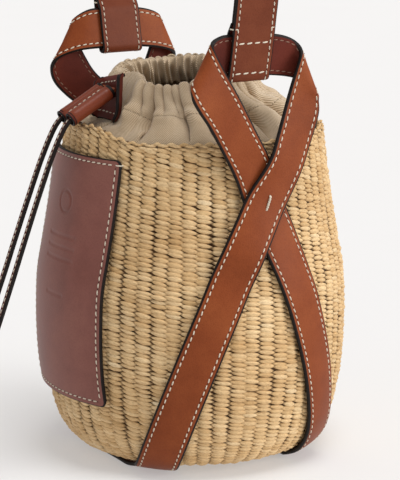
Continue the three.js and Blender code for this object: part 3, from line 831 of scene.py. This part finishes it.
RIBBON_WIDTH = 24.5
RIBBON_THICKNESS = 2.6
CROSSING_HEIGHT = 171
CROSSING_ANGLE = math.radians(88)
CROSSING_RAISE = RIBBON_THICKNESS + 0.7
WALL_CLEARANCE = 0.7
FLOOR_CLEARANCE = 0.12
CROSSING_HALF_LENGTH = 27
CROSSING_RAMP = 22
WALL_STATIONS = 16
STATION_STEPS = 8
STATION_CROWDING = 1.4
ACROSS = np.linspace(0, 1, 5)
UNDER_BASE_SHARES = (0, 0.34, 0.68)
UNDER_BASE_TURN = 0.5
BRIDGE_SHARES = (0.35, 0.65)
FRONT_LEG = {"turn": -1, "top": 41, "base": 29, "middle_y": -50, "raised": 1}
BACK_LEG = {"turn": 1, "top": 31, "base": 27, "middle_y": 40, "raised": 0}
# the front and the back edge of each leg, from above the crossing up to the bridge
FRONT_RISE = [
    [[90.3, -1.5, 196], [88.6, 21.4, 187]],
    [[88.9, 5.4, 212], [87.4, 28.4, 203.2]],
    [[86.8, 12, 228.5], [86.4, 34.4, 218.6]],
    [[86, 16.6, 240.6], [86, 35.4, 225.6]],
    [[86, 21.7, 255], [86, 34.6, 230.8]],
    [[84.2, 23.2, 260], [81.6, 33.6, 235.6]],
    [[82, 20.6, 264.6], [77.4, 29, 240]],
    [[81.5, 14, 267.6], [76.6, 18.6, 243.2]],
    [[81.4, 4.6, 269.4], [76.5, 5.2, 245]],
]
BACK_RISE = [
    [[84.6, -21, 185.4], [86.3, 0.5, 197]],
    [[85.4, -30.8, 203], [86.1, -9.2, 214.5]],
    [[86.3, -40.2, 218.2], [86.2, -18.2, 230.6]],
    [[86.9, -47.2, 227.6], [86.3, -25, 241.8]],
    [[86.5, -51.4, 235], [86.2, -31.6, 252.4]],
    [[83.6, -50.6, 240.4], [85.4, -36.4, 262.2]],
    [[80, -45.6, 243.8], [83.2, -35.8, 267.4]],
    [[77.2, -36, 245.6], [81.7, -29.6, 270]],
    [[76.5, -24.2, 245.8], [81.4, -23.6, 270.4]],
]
# the left loop stands further forward and lower than the right one; x is given as on the right side
BACK_RISE_LEFT = [
    *BACK_RISE[:2],
    [[86.2, -44.6, 215.4], [86.2, -23.4, 228.4]],
    [[86.8, -51.6, 222.8], [86.5, -29.8, 238]],
    [[87, -54.6, 229.4], [86.8, -34.6, 247.4]],
    [[85.8, -54.6, 235.4], [86, -38.6, 256.4]],
    [[82, -50.2, 240.8], [84, -38.8, 264.6]],
    [[78, -39.2, 244.8], [81.9, -31.4, 269.4]],
    BACK_RISE[-1],
]


def leg_rows(leg, rise):
    """Rows of points across one leg, from the middle of the base up to the bridge, on the right side."""
    top = length_at(CROSSING_HEIGHT)
    steps = WALL_STATIONS * STATION_STEPS
    s = top * (np.arange(steps + 1) / steps) ** STATION_CROWDING
    radius = on_profile(s)[0]
    sine = (leg["base"] + (leg["top"] - leg["base"]) * s / top) / radius
    swing = leg["turn"] * np.diff(s) * (sine / np.sqrt(1 - sine**2) / radius)[1:]
    angle = CROSSING_ANGLE + np.concatenate([np.cumsum(swing[::-1])[::-1], [0]])
    v = RIBBON_WIDTH * (ACROSS - 0.5)
    k = np.arange(0, steps + 1, STATION_STEPS)[:, None]
    near_crossing = 1 - smooth(top - s[k], CROSSING_HALF_LENGTH, CROSSING_HALF_LENGTH + CROSSING_RAMP)
    offset = WALL_CLEARANCE + RIBBON_THICKNESS / 2 + CROSSING_RAISE * leg["raised"] * near_crossing + 0 * v
    cosine = np.sqrt(1 - sine[k] ** 2)
    wall = on_wall(s[k] + leg["turn"] * v * sine[k], angle[k] + v * cosine / radius[k], offset)
    edge = wall[0][len(ACROSS) // 2]
    under = []
    for share in UNDER_BASE_SHARES:
        turn = share**2 * UNDER_BASE_TURN * leg["turn"]
        x, y = share * edge[0], leg["middle_y"] + share**2 * (edge[1] - leg["middle_y"])
        floor_level = np.full(len(v), RIBBON_THICKNESS / 2 + FLOOR_CLEARANCE)
        under.append(np.stack([x - v * math.sin(turn), y + v * math.cos(turn), floor_level], -1))
    upper = [np.array(front) + (np.array(back) - np.array(front)) * ACROSS[:, None] for front, back in rise]
    return np.concatenate([under, wall, upper])


def ribbon_rows(back_rise):
    front = leg_rows(FRONT_LEG, FRONT_RISE)
    back = leg_rows(BACK_LEG, back_rise)[:, ::-1]
    bridge = [front[-1] + (back[-1] - front[-1]) * share for share in BRIDGE_SHARES]
    return np.concatenate([front, bridge, back[::-1]])


def make_ribbons():
    reach = RIBBON_WIDTH / 2 - STITCH_INSET
    for (place, side), back_rise in zip(PLACES, (BACK_RISE, BACK_RISE_LEFT)):
        strap = Strap(mirror(ribbon_rows(back_rise), side)[:, ::side], RIBBON_THICKNESS)
        names = [f"ribbon_{part}_{end}_{place}" for part in ("leg", "roll") for end in ("front", "back")]
        names.append(f"ribbon_bridge_{place}")
        outer, inner = ([strap.line(reach, face), strap.line(-reach, face)] for face in (1, -1))
        pieces = [
            strap.mesh(f"ribbon_{place}", LEATHER_SIDES, None, names),
            stitches(f"ribbon_thread_{place}", outer, None),
            stitches(f"ribbon_inner_thread_{place}", inner, None, radius=0.34, yarn=INNER_THREAD),
        ]
        for piece in pieces:
            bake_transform(piece)


TWIST_RINGS = 26
TWIST_PLIES = 2


def twist(length, radius, winds):
    """A short twist of thread: plies wound round each other along x."""
    t = np.linspace(0, 1, TWIST_RINGS)
    drop = -1.6 * radius * np.abs(2 * t - 1) ** 6
    points = []
    for ply in range(TWIST_PLIES):
        phase = 2 * np.pi * (winds * t + ply / TWIST_PLIES)
        y, z = 0.45 * radius * np.cos(phase), 0.45 * radius * np.sin(phase) + drop
        middle = np.stack([(t - 0.5) * length, y, z], -1)
        points.append(circles(middle, np.array([0, 1.0, 0]), UP, 0.62 * radius, THREAD_SIDES).reshape(-1, 3))
    faces = repeat_faces(tube_faces(TWIST_RINGS, THREAD_SIDES), TWIST_PLIES, TWIST_RINGS * THREAD_SIDES)
    return np.concatenate(points), faces


def make_crossing_stitches():
    points, faces = twist(10, 0.75, 3.2)
    for place, side in PLACES:
        node = f"crossing_stitch_{place}"
        middle = np.mean(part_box(node), 0) / MM - MIDDLE - [side * 0.75, 0, 0]
        ahead = unit(np.array([0, 0.343, 0.939]))
        out = np.array([side, 0, 0.0])
        axes = np.stack([ahead, np.cross(out, ahead), out])
        add_thread(f"crossing_thread_{place}", points @ axes + middle, faces, 0.05, stands_for=[node])


make_ribbons()
make_crossing_stitches()

# ---- front panel: two leather layers with a plain blind-pressed motif ----

PANEL_HALF_WIDTH = 42.5
PANEL_BOTTOM = 46
PANEL_TOP = 195
PANEL_CORNER = 3.2
PANEL_LAYER = 1.5
PANEL_STANDOFF = 0.8
PANEL_GAP = 0.3
PANEL_INSET = 3.2
BACKING_MARGIN = 0.4
BACKING_SWELL = 0.14
RING_HEIGHT = 165
RING_RADIUS = 6.5
# height and half length of each bar
BARS = ((144, 15), (137, 15), (130, 15), (109, 9))


def pressed(across, height):
    """Depth of the pressed motif at a place on the panel: a ring and a few plain bars."""
    ring = np.abs(np.hypot(across, height - RING_HEIGHT) - RING_RADIUS)
    depth = 0.42 * (1 - smooth(ring, 0.5, 1.1))
    for bar_height, half in BARS:
        distance = np.maximum(np.abs(height - bar_height) - 0.5, 0) + np.maximum(np.abs(across) - half, 0)
        depth = np.maximum(depth, 0.34 * (1 - smooth(distance, 0.2, 0.9)))
    return depth


def panel_layer(name, node, middle_offset, margin, columns, rows, swell=0.0, motif=False):
    """One layer: a face, a rounded border and a back, all of them grids or rings that follow the weave."""
    low, high = length_at(PANEL_BOTTOM + margin), length_at(PANEL_TOP - margin)
    reach, rise = PANEL_HALF_WIDTH - margin, (high - low) / 2
    half = PANEL_LAYER / 2 + swell
    grid_b, grid_a = np.meshgrid(np.linspace(-1, 1, rows), np.linspace(-1, 1, columns), indexing="ij")

    def drawn_in(shrink):
        """Across and up from the layer's middle, on a grid drawn in by a distance, with rounded corners."""
        x, y = grid_a * (reach - shrink), grid_b * (rise - shrink)
        over_x = np.maximum(np.abs(x) - (reach - shrink - PANEL_CORNER), 0)
        over_y = np.maximum(np.abs(y) - (rise - shrink - PANEL_CORNER), 0)
        over = np.hypot(over_x, over_y)
        pull = np.where(over > 1e-6, np.maximum(over_x, over_y) / np.maximum(over, 1e-6), 1) - 1
        return np.sign(x) * (np.abs(x) + over_x * pull), np.sign(y) * (np.abs(y) + over_y * pull)

    def lifted(shrink, offset):
        x, y = drawn_in(shrink)
        s = (low + high) / 2 + y
        return on_wall(s, x / on_profile(s)[0], offset).reshape(-1, 3)

    x, y = drawn_in(half)
    dip = 0.2 * bell(np.minimum(reach - np.abs(x), rise - np.abs(y)) - PANEL_INSET, 0.7)
    if motif:
        dip = dip + pressed(x, on_profile((low + high) / 2 + y)[1])
    top = lifted(half, middle_offset + half - dip)
    bottom = lifted(half, middle_offset - half)
    border = np.concatenate([
        np.arange(columns), columns - 1 + columns * np.arange(1, rows),
        columns * rows - 2 - np.arange(columns - 1), columns * np.arange(rows - 2, 0, -1),
    ])
    angles = np.linspace(np.pi / 2, -np.pi / 2, 7)[1:-1]
    rings = [lifted(half * (1 - np.cos(t)), middle_offset + half * np.sin(t))[border] for t in angles]
    cell = (np.arange(rows - 1)[:, None] * columns + np.arange(columns - 1)).ravel()
    face = np.stack([cell, cell + 1, cell + 1 + columns, cell + columns], -1)
    ring_starts = len(top) + len(border) * np.arange(len(rings) + 1)
    round_rings = [start + np.arange(len(border)) for start in ring_starts[:-1]]
    loops = [border, *round_rings, ring_starts[-1] + border]
    sides = [np.stack([p, q, np.roll(q, -1), np.roll(p, -1)], -1) for p, q in zip(loops, loops[1:])]
    faces = np.concatenate([face, *sides, face[:, ::-1] + ring_starts[-1]])
    index = np.repeat([0, 1, 2], [len(face), len(faces) - 2 * len(face), len(face)])
    points = np.concatenate([top, *rings, bottom])
    add_mesh(name, points, faces, [PANEL_LEATHER, EDGE, FLESH], index, "panel_leather", stands_for=[node])


def make_panel():
    backing = PANEL_STANDOFF + PANEL_LAYER / 2
    middle = backing + PANEL_LAYER + PANEL_GAP
    panel_layer("panel_backing", "front_panel_backing", backing, BACKING_MARGIN, 30, 50, BACKING_SWELL)
    panel_layer("panel_front", "front_panel", middle, 0, 122, 214, motif=True)

    low, high = length_at(PANEL_BOTTOM), length_at(PANEL_TOP)
    left, rise = PANEL_HALF_WIDTH - PANEL_INSET, (high - low) / 2 - PANEL_INSET
    corners = [(left, -rise), (left, rise), (-left, rise), (-left, -rise)]
    lines = []
    for (x0, y0), (x1, y1) in zip(corners, corners[1:] + corners[:1]):
        cut = 1.6 / max(abs(x1 - x0), abs(y1 - y0))
        t = np.linspace(cut, 1 - cut, 80)
        s = (low + high) / 2 + y0 + (y1 - y0) * t
        angle = (x0 + (x1 - x0) * t) / on_profile(s)[0]
        line = on_wall(s, angle, middle + PANEL_LAYER / 2 - THREAD_SINK)
        lines.append((line, unit(on_wall(s, angle, 5.0) - on_wall(s, angle, 0.0))))
    stitches("panel_thread", lines, skip=0.4)

    # a thread wound over the edge at each top corner
    s = np.full(WRAP_RINGS, high - PANEL_INSET)
    outside, inside = middle + PANEL_LAYER / 2 + 0.3, 0.42
    _, across, through = edge_loop()
    x = PANEL_HALF_WIDTH - 1.5 + 1.7 * across
    offset = (outside + inside) / 2 + through * (outside - inside) / 2
    wound("panel_wraps", [on_wall(s, side * x / on_profile(s)[0], offset) for _, side in PLACES], 0.4)


make_panel()

# ---- pouch: lining, gathered collar with its turned hem, and the cord in the hem ----

COLLAR_LEAN = 10
COLLAR_LEAN_FROM = 204
COLLAR_LEAN_TO = 238
PLEATS = 50
PUFFS = 13
CLOTH_THICKNESS = 0.9
COLLAR_COLUMNS = 720
COLLAR_ROWS = 120
# a whole number of twill ribs goes round, so that they meet at the back
COLLAR_AROUND = 483.0
# radius and height of the cloth from the rim up, over the mouth's edge and down inside as the hem
COLLAR_LINE = [
    [73.8, 199.6], [73, 204.6], [67.6, 209.6], [60.6, 213.4], [55.2, 217.8], [51.4, 222.6], [48.4, 227.4],
    [46, 232], [43.8, 236.6], [41.6, 240.4], [39, 242.6], [36.8, 241.4], [36, 238], [36.2, 233.6],
    [37.2, 229.5], [38, 227],
]
GATHER_ROW = 7
SEAM_ROW = 4.1
MOUTH_ROW = 10
MOUTH_DIP = 8
MOUTH_DIP_ANGLE = 0.55
LOBE_ANGLE = -0.05
LOBE_HALF_ANGLE = 0.42


def uneven_edges(count, seed, spread):
    """Angles of creases round the mouth, unevenly spaced."""
    local = np.random.default_rng(seed)
    widths = np.clip(1 + local.normal(0, spread, count), 0.45, 1.8)
    return np.concatenate([[0], np.cumsum(widths)]) / widths.sum() * 2 * np.pi


def merged(edges, seed):
    """Every first to third crease, where small pleats run together into one fold."""
    local = np.random.default_rng(seed)
    kept = [0]
    while len(edges) - 1 - kept[-1] > 5:
        kept.append(kept[-1] + int(local.integers(1, 4)))
    return edges[kept + [len(edges) - 1]]


def waves(angle, edges, seed, sharpness=0.75):
    """Rounded bulges with sharp creases at the edges: -1 in a crease, 1 on a bulge.

    Also how far through its bulge each angle is, and which bulge that is.
    """
    turn = np.mod(angle, 2 * np.pi)
    which = np.clip(np.searchsorted(edges, turn, side="right") - 1, 0, len(edges) - 2)
    share = (turn - edges[which]) / (edges[which + 1] - edges[which])
    size = np.clip(1 + np.random.default_rng(seed).normal(0, 0.25, len(edges) - 1), 0.5, 1.5)
    return (2 * np.abs(np.sin(np.pi * share)) ** sharpness - 1) * size[which], share, which


PLEAT_EDGES = uneven_edges(PLEATS, 5, 0.26)
FOLD_EDGES = merged(PLEAT_EDGES, 9)
PUFF_EDGES = uneven_edges(PUFFS, 21, 0.3)


def mouth_dip(angle):
    """How far the drawn edge hangs down, most at the front right."""
    return MOUTH_DIP * (0.5 + 0.5 * np.cos(angle - MOUTH_DIP_ANGLE)) ** 1.3


def round_mouth(radius, angle, height):
    """Round an axis that leans to the front as it rises."""
    points = round_axis(radius, angle, height)
    points[..., 1] -= COLLAR_LEAN * smooth(height, COLLAR_LEAN_FROM, COLLAR_LEAN_TO)
    return points


def collar_grid():
    t = np.linspace(0, len(COLLAR_LINE) - 1, COLLAR_ROWS)
    line = along(COLLAR_LINE, t)
    heading = unit(np.gradient(line, axis=0))
    out, up = heading[:, 1:], -heading[:, :1]
    t, angle = np.meshgrid(t, turns(COLLAR_COLUMNS), indexing="ij")
    on_outside = t <= MOUTH_ROW

    # puffs low on the collar, folds that start at uneven heights, and pleats towards the mouth
    lean = 0.05 * np.sin(angle * 2 + 1) * (MOUTH_ROW - np.minimum(t, MOUTH_ROW)) / 4
    pleat, pleat_share, _ = waves(angle + 0.3 * lean, PLEAT_EDGES, 5)
    fold, fold_share, fold_number = waves(angle + lean, FOLD_EDGES, 6, 0.72)
    puff = waves(angle + 0.1 * np.sin(3 * angle), PUFF_EDGES, 22, 0.6)[0]
    start = np.random.default_rng(8).uniform(-0.2, 1.6, len(FOLD_EDGES))[fold_number]
    in_folds = smooth(t, start, start + 2.6) * (1 - 0.6 * smooth(t, 6, MOUTH_ROW))
    in_folds = in_folds * (1 - 0.6 * smooth(t, 4.6, 6.6))
    in_pleats = smooth(t, 3.4, 7)
    in_puffs = smooth(t, 0.8, 3.2) * (1 - smooth(t, 4.4, 6.6))
    crease = np.sin(17 * angle + 2.1 * t + 1.5 * np.sin(5 * angle))
    crease += 0.6 * np.sin(31 * angle - 1.3 * t + 2 * np.sin(7 * angle))
    swell = in_puffs * (3.6 * puff - 0.4) + in_folds * (6.6 * fold - 3.2) + 2 * in_pleats * pleat
    swell = swell + 0.42 * crease * smooth(t, 0.6, 3)
    # the cloth lies flat behind the tab
    behind_tab = smooth(np.cos(angle), math.cos(0.37), math.cos(0.27)) * smooth(t, 1.5, 3)
    swell = np.where(swell > -1, -1 + (swell + 1) * (1 - behind_tab), swell)

    # on the turned side of the hem the cloth moves with the pleat, not with its own normal
    radius = line[:, :1] + 0.95 * swell * np.where(on_outside, out, 1.0)
    radius = radius - 0.6 * bell(t - SEAM_ROW, 0.25) * (1 + 0.5 * np.sin(60 * angle))
    near_mouth = smooth(t, GATHER_ROW + 1, MOUTH_ROW)
    height = line[:, 1:] + np.where(on_outside, swell * up, 0) * (1 - 0.5 * near_mouth)
    height = height + near_mouth * (0.9 * pleat + 0.6 * np.sin(5 * angle + 1))
    height = height - mouth_dip(angle) * smooth(t, 3, GATHER_ROW + 1)
    # one lobe of the hem flops in over the mouth above the tab
    from_lobe = np.mod(angle - LOBE_ANGLE + np.pi, 2 * np.pi) - np.pi
    lobe = bell(from_lobe, LOBE_HALF_ANGLE) * smooth(t, 6.5, MOUTH_ROW)
    radius = radius - 8.5 * lobe
    height = height + 3.2 * lobe
    overhang = 0.6 * in_pleats * np.sin(math.tau * pleat_share)
    overhang = overhang + 1.7 * in_folds * np.sin(math.tau * fold_share)
    return round_mouth(radius, angle - overhang / np.maximum(radius, 20), height)


def grid_normals(grid):
    beside = (np.roll(grid, -1, axis=1) - np.roll(grid, 1, axis=1)) / 2
    return unit(np.cross(beside, np.gradient(grid, axis=0)))


def add_cloth(name, rings, down, around, nodes, looped=False):
    """Cloth from rings of points, with how far down the cloth each ring is and the cloth's length around."""
    columns = rings.shape[1]
    uv = np.stack(np.meshgrid(np.arange(columns) / columns * around, down), -1)
    faces = tube_faces(len(rings), columns, looped)
    return add_mesh(name, rings, faces, [CANVAS], slot="canvas", uv=uv, stands_for=nodes)


def make_collar():
    grid = collar_grid()
    normal = grid_normals(grid)
    skin = normal * CLOTH_THICKNESS / 2
    down = run_lengths(grid[:, 0])
    down = np.concatenate([down, down[::-1]])
    rings = np.concatenate([grid + skin, (grid - skin)[::-1]])
    nodes = ["pouch_collar", "pouch_hem_facing"]
    collar = add_cloth("collar", rings, down, COLLAR_AROUND, nodes, looped=True)

    # hem seam: a line of thread below the drawn channel
    row = round((COLLAR_ROWS - 1) * SEAM_ROW / (len(COLLAR_LINE) - 1))
    line, facing = (np.concatenate([values[row], values[row][:1]]) for values in (grid, normal))
    facing *= np.sign((facing * (line * [1, 1, 0])).sum())
    line = line + facing * CLOTH_THICKNESS / 2
    stitches("collar_thread", [(line, facing)], pitch=2.9, radius=0.26, fill=0.6, yarn=CLOTH_THREAD)


CHANNEL_RADIUS = 40.4
CHANNEL_HEIGHT = 229.5
CHANNEL_STEPS = 160


def make_channel_cord():
    """The cord in the hem follows the gathers."""
    angle = turns(CHANNEL_STEPS)
    radius = CHANNEL_RADIUS + 0.8 * waves(angle, PLEAT_EDGES, 5)[0]
    middle = round_mouth(radius, angle, CHANNEL_HEIGHT - 0.87 * mouth_dip(angle))
    rings = circles(middle, unit(middle * [1, 1, 0]), UP, 1.0, 8)
    faces = tube_faces(CHANNEL_STEPS, 8, looped=True)
    add_mesh("channel_cord_drawn", rings, faces, [LEATHER], stands_for=["channel_cord"])


LINING_OFFSET = -7.3
LINING_TOP = 198
LINING_FLOOR = 9.6
LINING_AROUND = 525.0
LINING_COLUMNS = 220
LINING_FLOOR_ROWS = 24


def make_lining():
    """The pouch inside the basket hangs in soft folds a little off the weave, and closes over the base."""
    s = np.linspace(length_at(LINING_TOP), 7, 70)
    s, angle = np.meshgrid(s, turns(LINING_COLUMNS), indexing="ij")
    folds = 0.55 * np.sin(9 * angle + 0.02 * s) + 0.35 * np.sin(23 * angle + 0.05 * s + 2)
    side = on_wall(s, angle, LINING_OFFSET + folds * (0.4 + 0.6 * smooth(s, 20, 190)))
    share = np.linspace(0.97, 0.02, LINING_FLOOR_ROWS)[:, None]
    floor_rings = side[-1][None] * share[..., None]
    level = LINING_FLOOR + 0.25 * np.sin(angle[:1] * 5 + share * 12)
    drop = np.linspace(0, 1, LINING_FLOOR_ROWS)[:, None] ** 0.35
    floor_rings[..., 2] = side[-1][None, :, 2] * (1 - drop) + level * drop
    grid = np.concatenate([side, floor_rings])
    normal = grid_normals(grid)
    normal *= np.sign((normal[10] * side[10] * [1, 1, 0]).sum())
    down = run_lengths(grid[:, 0])
    down = np.concatenate([down[::-1], down])
    rings = np.concatenate([(grid - normal * CLOTH_THICKNESS)[::-1], grid])
    lining = add_cloth("pouch_inside", rings, down, LINING_AROUND, ["pouch_lining"])
    below, beside = np.diff(grid, axis=0), (np.roll(grid, -1, axis=1) - grid)[:-1]
    area = float(np.linalg.norm(np.cross(below, beside), axis=-1).sum()) * MM * MM
    area = round(min(area, 0.15), 4)


make_collar()
make_channel_cord()
make_lining()

# ---- handle ----

HANDLE_WIDTH = 28
HANDLE_MIDDLE_Y = -9.5
HANDLE_LAYER = 1.7
HANDLE_GAP = 0.3
HANDLE_ARCH = [
    [84.9, 270], [86.6, 280], [88.8, 292], [92.2, 318], [94.6, 345], [95.2, 372], [93, 402],
    [86, 432], [73, 458], [54, 477], [28, 487.4], [0, 490],
]
HANDLE_FOLD = [
    [82.9, 277.2], [80.9, 274], [78.6, 270], [77, 262], [75.4, 254], [73.8, 247], [73.8, 244.9],
    [75, 243.2], [76.7, 242.8], [78.6, 243.4], [79.5, 245.4], [80.4, 249], [82, 256], [83.5, 263.5],
]
LINING_FIRST_HEIGHT = 276.5
BOX_HEIGHTS = (265.5, 247.5)
BOX_SLOPE = 0.2
WRAP_AT = (85.4, 274)
HANDLE_SIDES = [SHADED_HANDLE_LEATHER, EDGE, FLESH]


def strip_of(line):
    """Rows of points across the handle from its side view of (x, z)."""
    path = np.stack([line[:, 0], np.full(len(line), HANDLE_MIDDLE_Y), line[:, 1]], -1)
    return strip_rows(path, [0, HANDLE_WIDTH, 0], 5)


def mirror_line(line):
    return np.asarray(line)[::-1] * [-1, 1]


def box_row(height, face):
    """A line of stitches across the strap at a height, on the outer layer's face."""
    y = np.linspace(-1, 1, 30) * (HANDLE_WIDTH / 2 - STITCH_INSET) + HANDLE_MIDDLE_Y
    normal = unit(np.array([1, 0, -BOX_SLOPE]))
    x = np.interp(height, face[:, 1], face[:, 0])
    points = np.stack([0 * y + x, y, 0 * y + height], -1) + normal * (HANDLE_LAYER / 2 - CROSS_SINK)
    return points, np.broadcast_to(normal, points.shape)


def wrap_path(side, edge):
    """The way of a thread wound over the strap's edge, through both of its layers."""
    turn, across, through = edge_loop()
    shift = (HANDLE_LAYER + HANDLE_GAP / 2 + 0.45) * through
    y = HANDLE_MIDDLE_Y + edge * (HANDLE_WIDTH / 2 - 1.6 + 2.0 * across)
    x, z = WRAP_AT
    return np.stack([side * (x - HANDLE_LAYER + shift), y, z + 0.35 * np.sin(turn) - 0.12 * shift], -1)


def make_handle():
    fold = curve(HANDLE_FOLD, 40)
    half_arch = curve(HANDLE_ARCH, 46)
    arch = np.concatenate([half_arch, mirror_line(half_arch)[1:]])
    outer = Strap(strip_of(np.concatenate([fold, arch, mirror_line(fold)])), HANDLE_LAYER, 1.6)
    outer.mesh("handle_strap", HANDLE_SIDES, "handle", ["handle_outer_layer"])

    heading = unit(np.gradient(arch, axis=0))
    inner_line = arch + np.stack([-heading[:, 1], heading[:, 0]], -1) * (HANDLE_LAYER + HANDLE_GAP)
    inner_line = inner_line[inner_line[:, 1] > LINING_FIRST_HEIGHT]
    # facing the arm, so its rows run the other way
    inner = Strap(strip_of(inner_line)[::-1], HANDLE_LAYER + HANDLE_GAP)
    inner.mesh("handle_strap_lining", HANDLE_SIDES, "handle", ["handle_lining_layer"])

    reach = HANDLE_WIDTH / 2 - STITCH_INSET
    lines = [strap.line(offset) for strap in (outer, inner) for offset in (reach, -reach)]
    stitches("handle_thread", lines, "handle", 3.8, skip=2.5)
    face = np.concatenate([fold[30:], half_arch[:4]])
    rows = [box_row(height, face) for height in BOX_HEIGHTS]
    lines = [(mirror(points, side), mirror(normals, side)) for points, normals in rows for _, side in PLACES]
    stitches("handle_box_thread", lines, "handle", 5.0, fill=0.78, radius=0.5, skip=0.3)
    wound("handle_wraps", [wrap_path(side, edge) for _, side in PLACES for edge in (1, -1)], 0.5, "handle")


make_handle()

# ---- drawstring tab, slider and necks ----

TAB_HALF_WIDTH = 15
TAB_THICKNESS = 2.0
TAB_CORNER = 5
TAB_FLAT_HALF = 10.4
TAB_CURL = 4.6
TAB_SHARES = np.array([1, 0.9, 0.8, 0.69, 0.25, -0.25, -0.69, -0.8, -0.9, -1])
TAB_SIDE = [
    [-54, 240.4], [-55.4, 240.8], [-56.4, 239], [-56.7, 234], [-57, 228.5], [-57.2, 223], [-57.9, 219],
    [-59.6, 215.6], [-61.6, 213.2],
]
# the cords pull the tab's top edge down on the left, and it stands up a little on the right
TAB_SKEW_AT = (-15, 0, 15)
TAB_SKEW = (-5, -2.2, 1.5)
CORD_EXIT = np.array([0, -56.5, 233.6])
SLIDER_END = np.array([0, -89.2, 215.5])
SLIDER_START = 0.13
SLIDER_RADIUS = 4.4
SLIDER_BORE = 2.85
SLIDER_SIDES = [SLIDER_LEATHER, EDGE, FLESH]


def make_tab():
    side_view = curve(TAB_SIDE, 30)
    length = run_lengths(side_view)
    from_end = np.clip(TAB_CORNER - np.minimum(length, length[-1] - length), 0, TAB_CORNER)
    round_off = TAB_CORNER - np.sqrt(TAB_CORNER**2 - from_end**2)
    rows = []
    for (y, z), cut in zip(side_view, round_off):
        x = (TAB_HALF_WIDTH - cut) * TAB_SHARES
        z = z + np.interp(x, TAB_SKEW_AT, TAB_SKEW) * smooth(z, 222, 240)
        rows.append(np.stack([x, y - TAB_CURL * smooth(np.abs(x), TAB_FLAT_HALF, TAB_HALF_WIDTH), z], -1))
    tab = Strap(np.stack(rows), TAB_THICKNESS, 1.2, 2.6)
    # the outer face also takes the darker flesh-side leather: partly the tab's own dark red, partly painted
    # shade from the slider
    tab.mesh("drawstring_patch", [FLESH, EDGE, FLESH], stands_for=["drawstring_tab"])
    reach = TAB_HALF_WIDTH - 3.2
    lines = [[values[3:-3] for values in tab.line(offset)] for offset in (reach, -reach)]
    lines += [tab.cross_line(row, reach, 26) for row in (4, -5)]
    stitches("drawstring_thread", lines, pitch=3.8, skip=0.6)


def make_slider():
    """One piece of leather rolled into two tubes with painted rims, and its web between them."""
    axis = SLIDER_END - CORD_EXIT
    ahead = unit(axis)
    length = np.linalg.norm(axis) * (1 - SLIDER_START)
    first = CORD_EXIT + axis * SLIDER_START
    wall = (SLIDER_RADIUS - SLIDER_BORE) / 2
    middle = (SLIDER_RADIUS + SLIDER_BORE) / 2
    turn = np.linspace(3 * np.pi / 2, np.pi / 2, 8)
    near = [(wall + wall * math.cos(a), middle + wall * math.sin(a)) for a in turn]
    bore = [(length * k / 6, SLIDER_BORE) for k in range(1, 6)]
    far = [(length - wall - wall * math.cos(a), middle + wall * math.sin(a)) for a in turn[::-1]]
    body = [(length * k / 14, SLIDER_RADIUS - 0.12 * math.sin(math.pi * k / 14)) for k in range(13, 0, -1)]
    outline = [*near, *bore, *far, *body, near[0]]
    index = np.repeat([1, 2, 1, 0], [len(near), len(bore), len(far), len(body)])
    for place, side in PLACES:
        lathe(
            f"slider_tube_{place}", outline, first + [side * CORD_X, 0, 0], ahead, SLIDER_SIDES, 40,
            index_of=lambda k: index[k], body="slider", stands_for=["cord_slider"],
        )
    # the web is drawn in along its middle
    up = np.cross([1.0, 0, 0], ahead)
    section = np.array([(-2.9, 3.4), (-1.5, 2.7), (0, 2.4), (1.5, 2.7), (2.9, 3.4)])
    section = np.concatenate([section, section[::-1] * [1, -1]])
    at = np.linspace(1.2, length - 1.2, 16)[:, None, None]
    points = first + at * ahead + section[:, :1] * [1.0, 0, 0] + section[:, 1:] * up
    add_mesh("slider_web", points, tube_faces(len(at), len(section)), [SLIDER_LEATHER], body="slider")
    seam = first + np.linspace(2, length - 2, 30)[:, None] * ahead
    lines = [(seam + side * 2.5 * up, np.broadcast_to(side * up, seam.shape)) for side in (1, -1)]
    stitches("slider_thread", lines, "slider", 3.6)


make_tab()
make_slider()
for name in ("cord_neck_right", "cord_neck_left"):
    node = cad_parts[name]
    node.data.materials.clear()
    node.data.materials.append(LEATHER)

# ---- floor and light ----

FLOOR_HALF = 12


def make_floor():
    look = Look(
        "floor", 0.95, Specular_IOR_Level=0.0, Emission_Strength=0.36, Emission_Color=(1, 0.985, 0.975, 1)
    )
    paper = look.noise(look.coordinates(), 9, 2)
    look.color(look.ramp(paper, {0: (0.47, 0.462, 0.457, 1), 1: (0.48, 0.472, 0.467, 1)}))
    mesh = bpy.data.meshes.new("floor")
    corners = [(FLOOR_HALF * x, FLOOR_HALF * y, 0) for x, y in ((-1, -1), (1, -1), (1, 1), (-1, 1))]
    mesh.from_pydata(corners, [], [(0, 1, 2, 3)])
    mesh.materials.append(look.material)
    new_object("floor", mesh)


def sun(name, direction, strength, spread):
    data = bpy.data.lights.new(name, "SUN")
    data.energy = strength
    data.angle = math.radians(spread)
    turn_to(new_object(name, data), direction, "Z")


make_floor()
sun("key", toward_camera * 0.35 + to_right * 0.35 + [0, 0, 2.0], 1.75, 30)
sun("side", toward_camera * 0.35 + to_right * 1.0 + [0, 0, 0.3], 1.8, 34)

world = bpy.data.worlds.new("studio")
world.use_nodes = True
background = world.node_tree.nodes["Background"]
background.inputs["Color"].default_value = (1, 1, 1, 1)
background.inputs["Strength"].default_value = 0.5
bpy.context.scene.world = world
bpy.context.scene.view_settings.view_transform = "Standard"
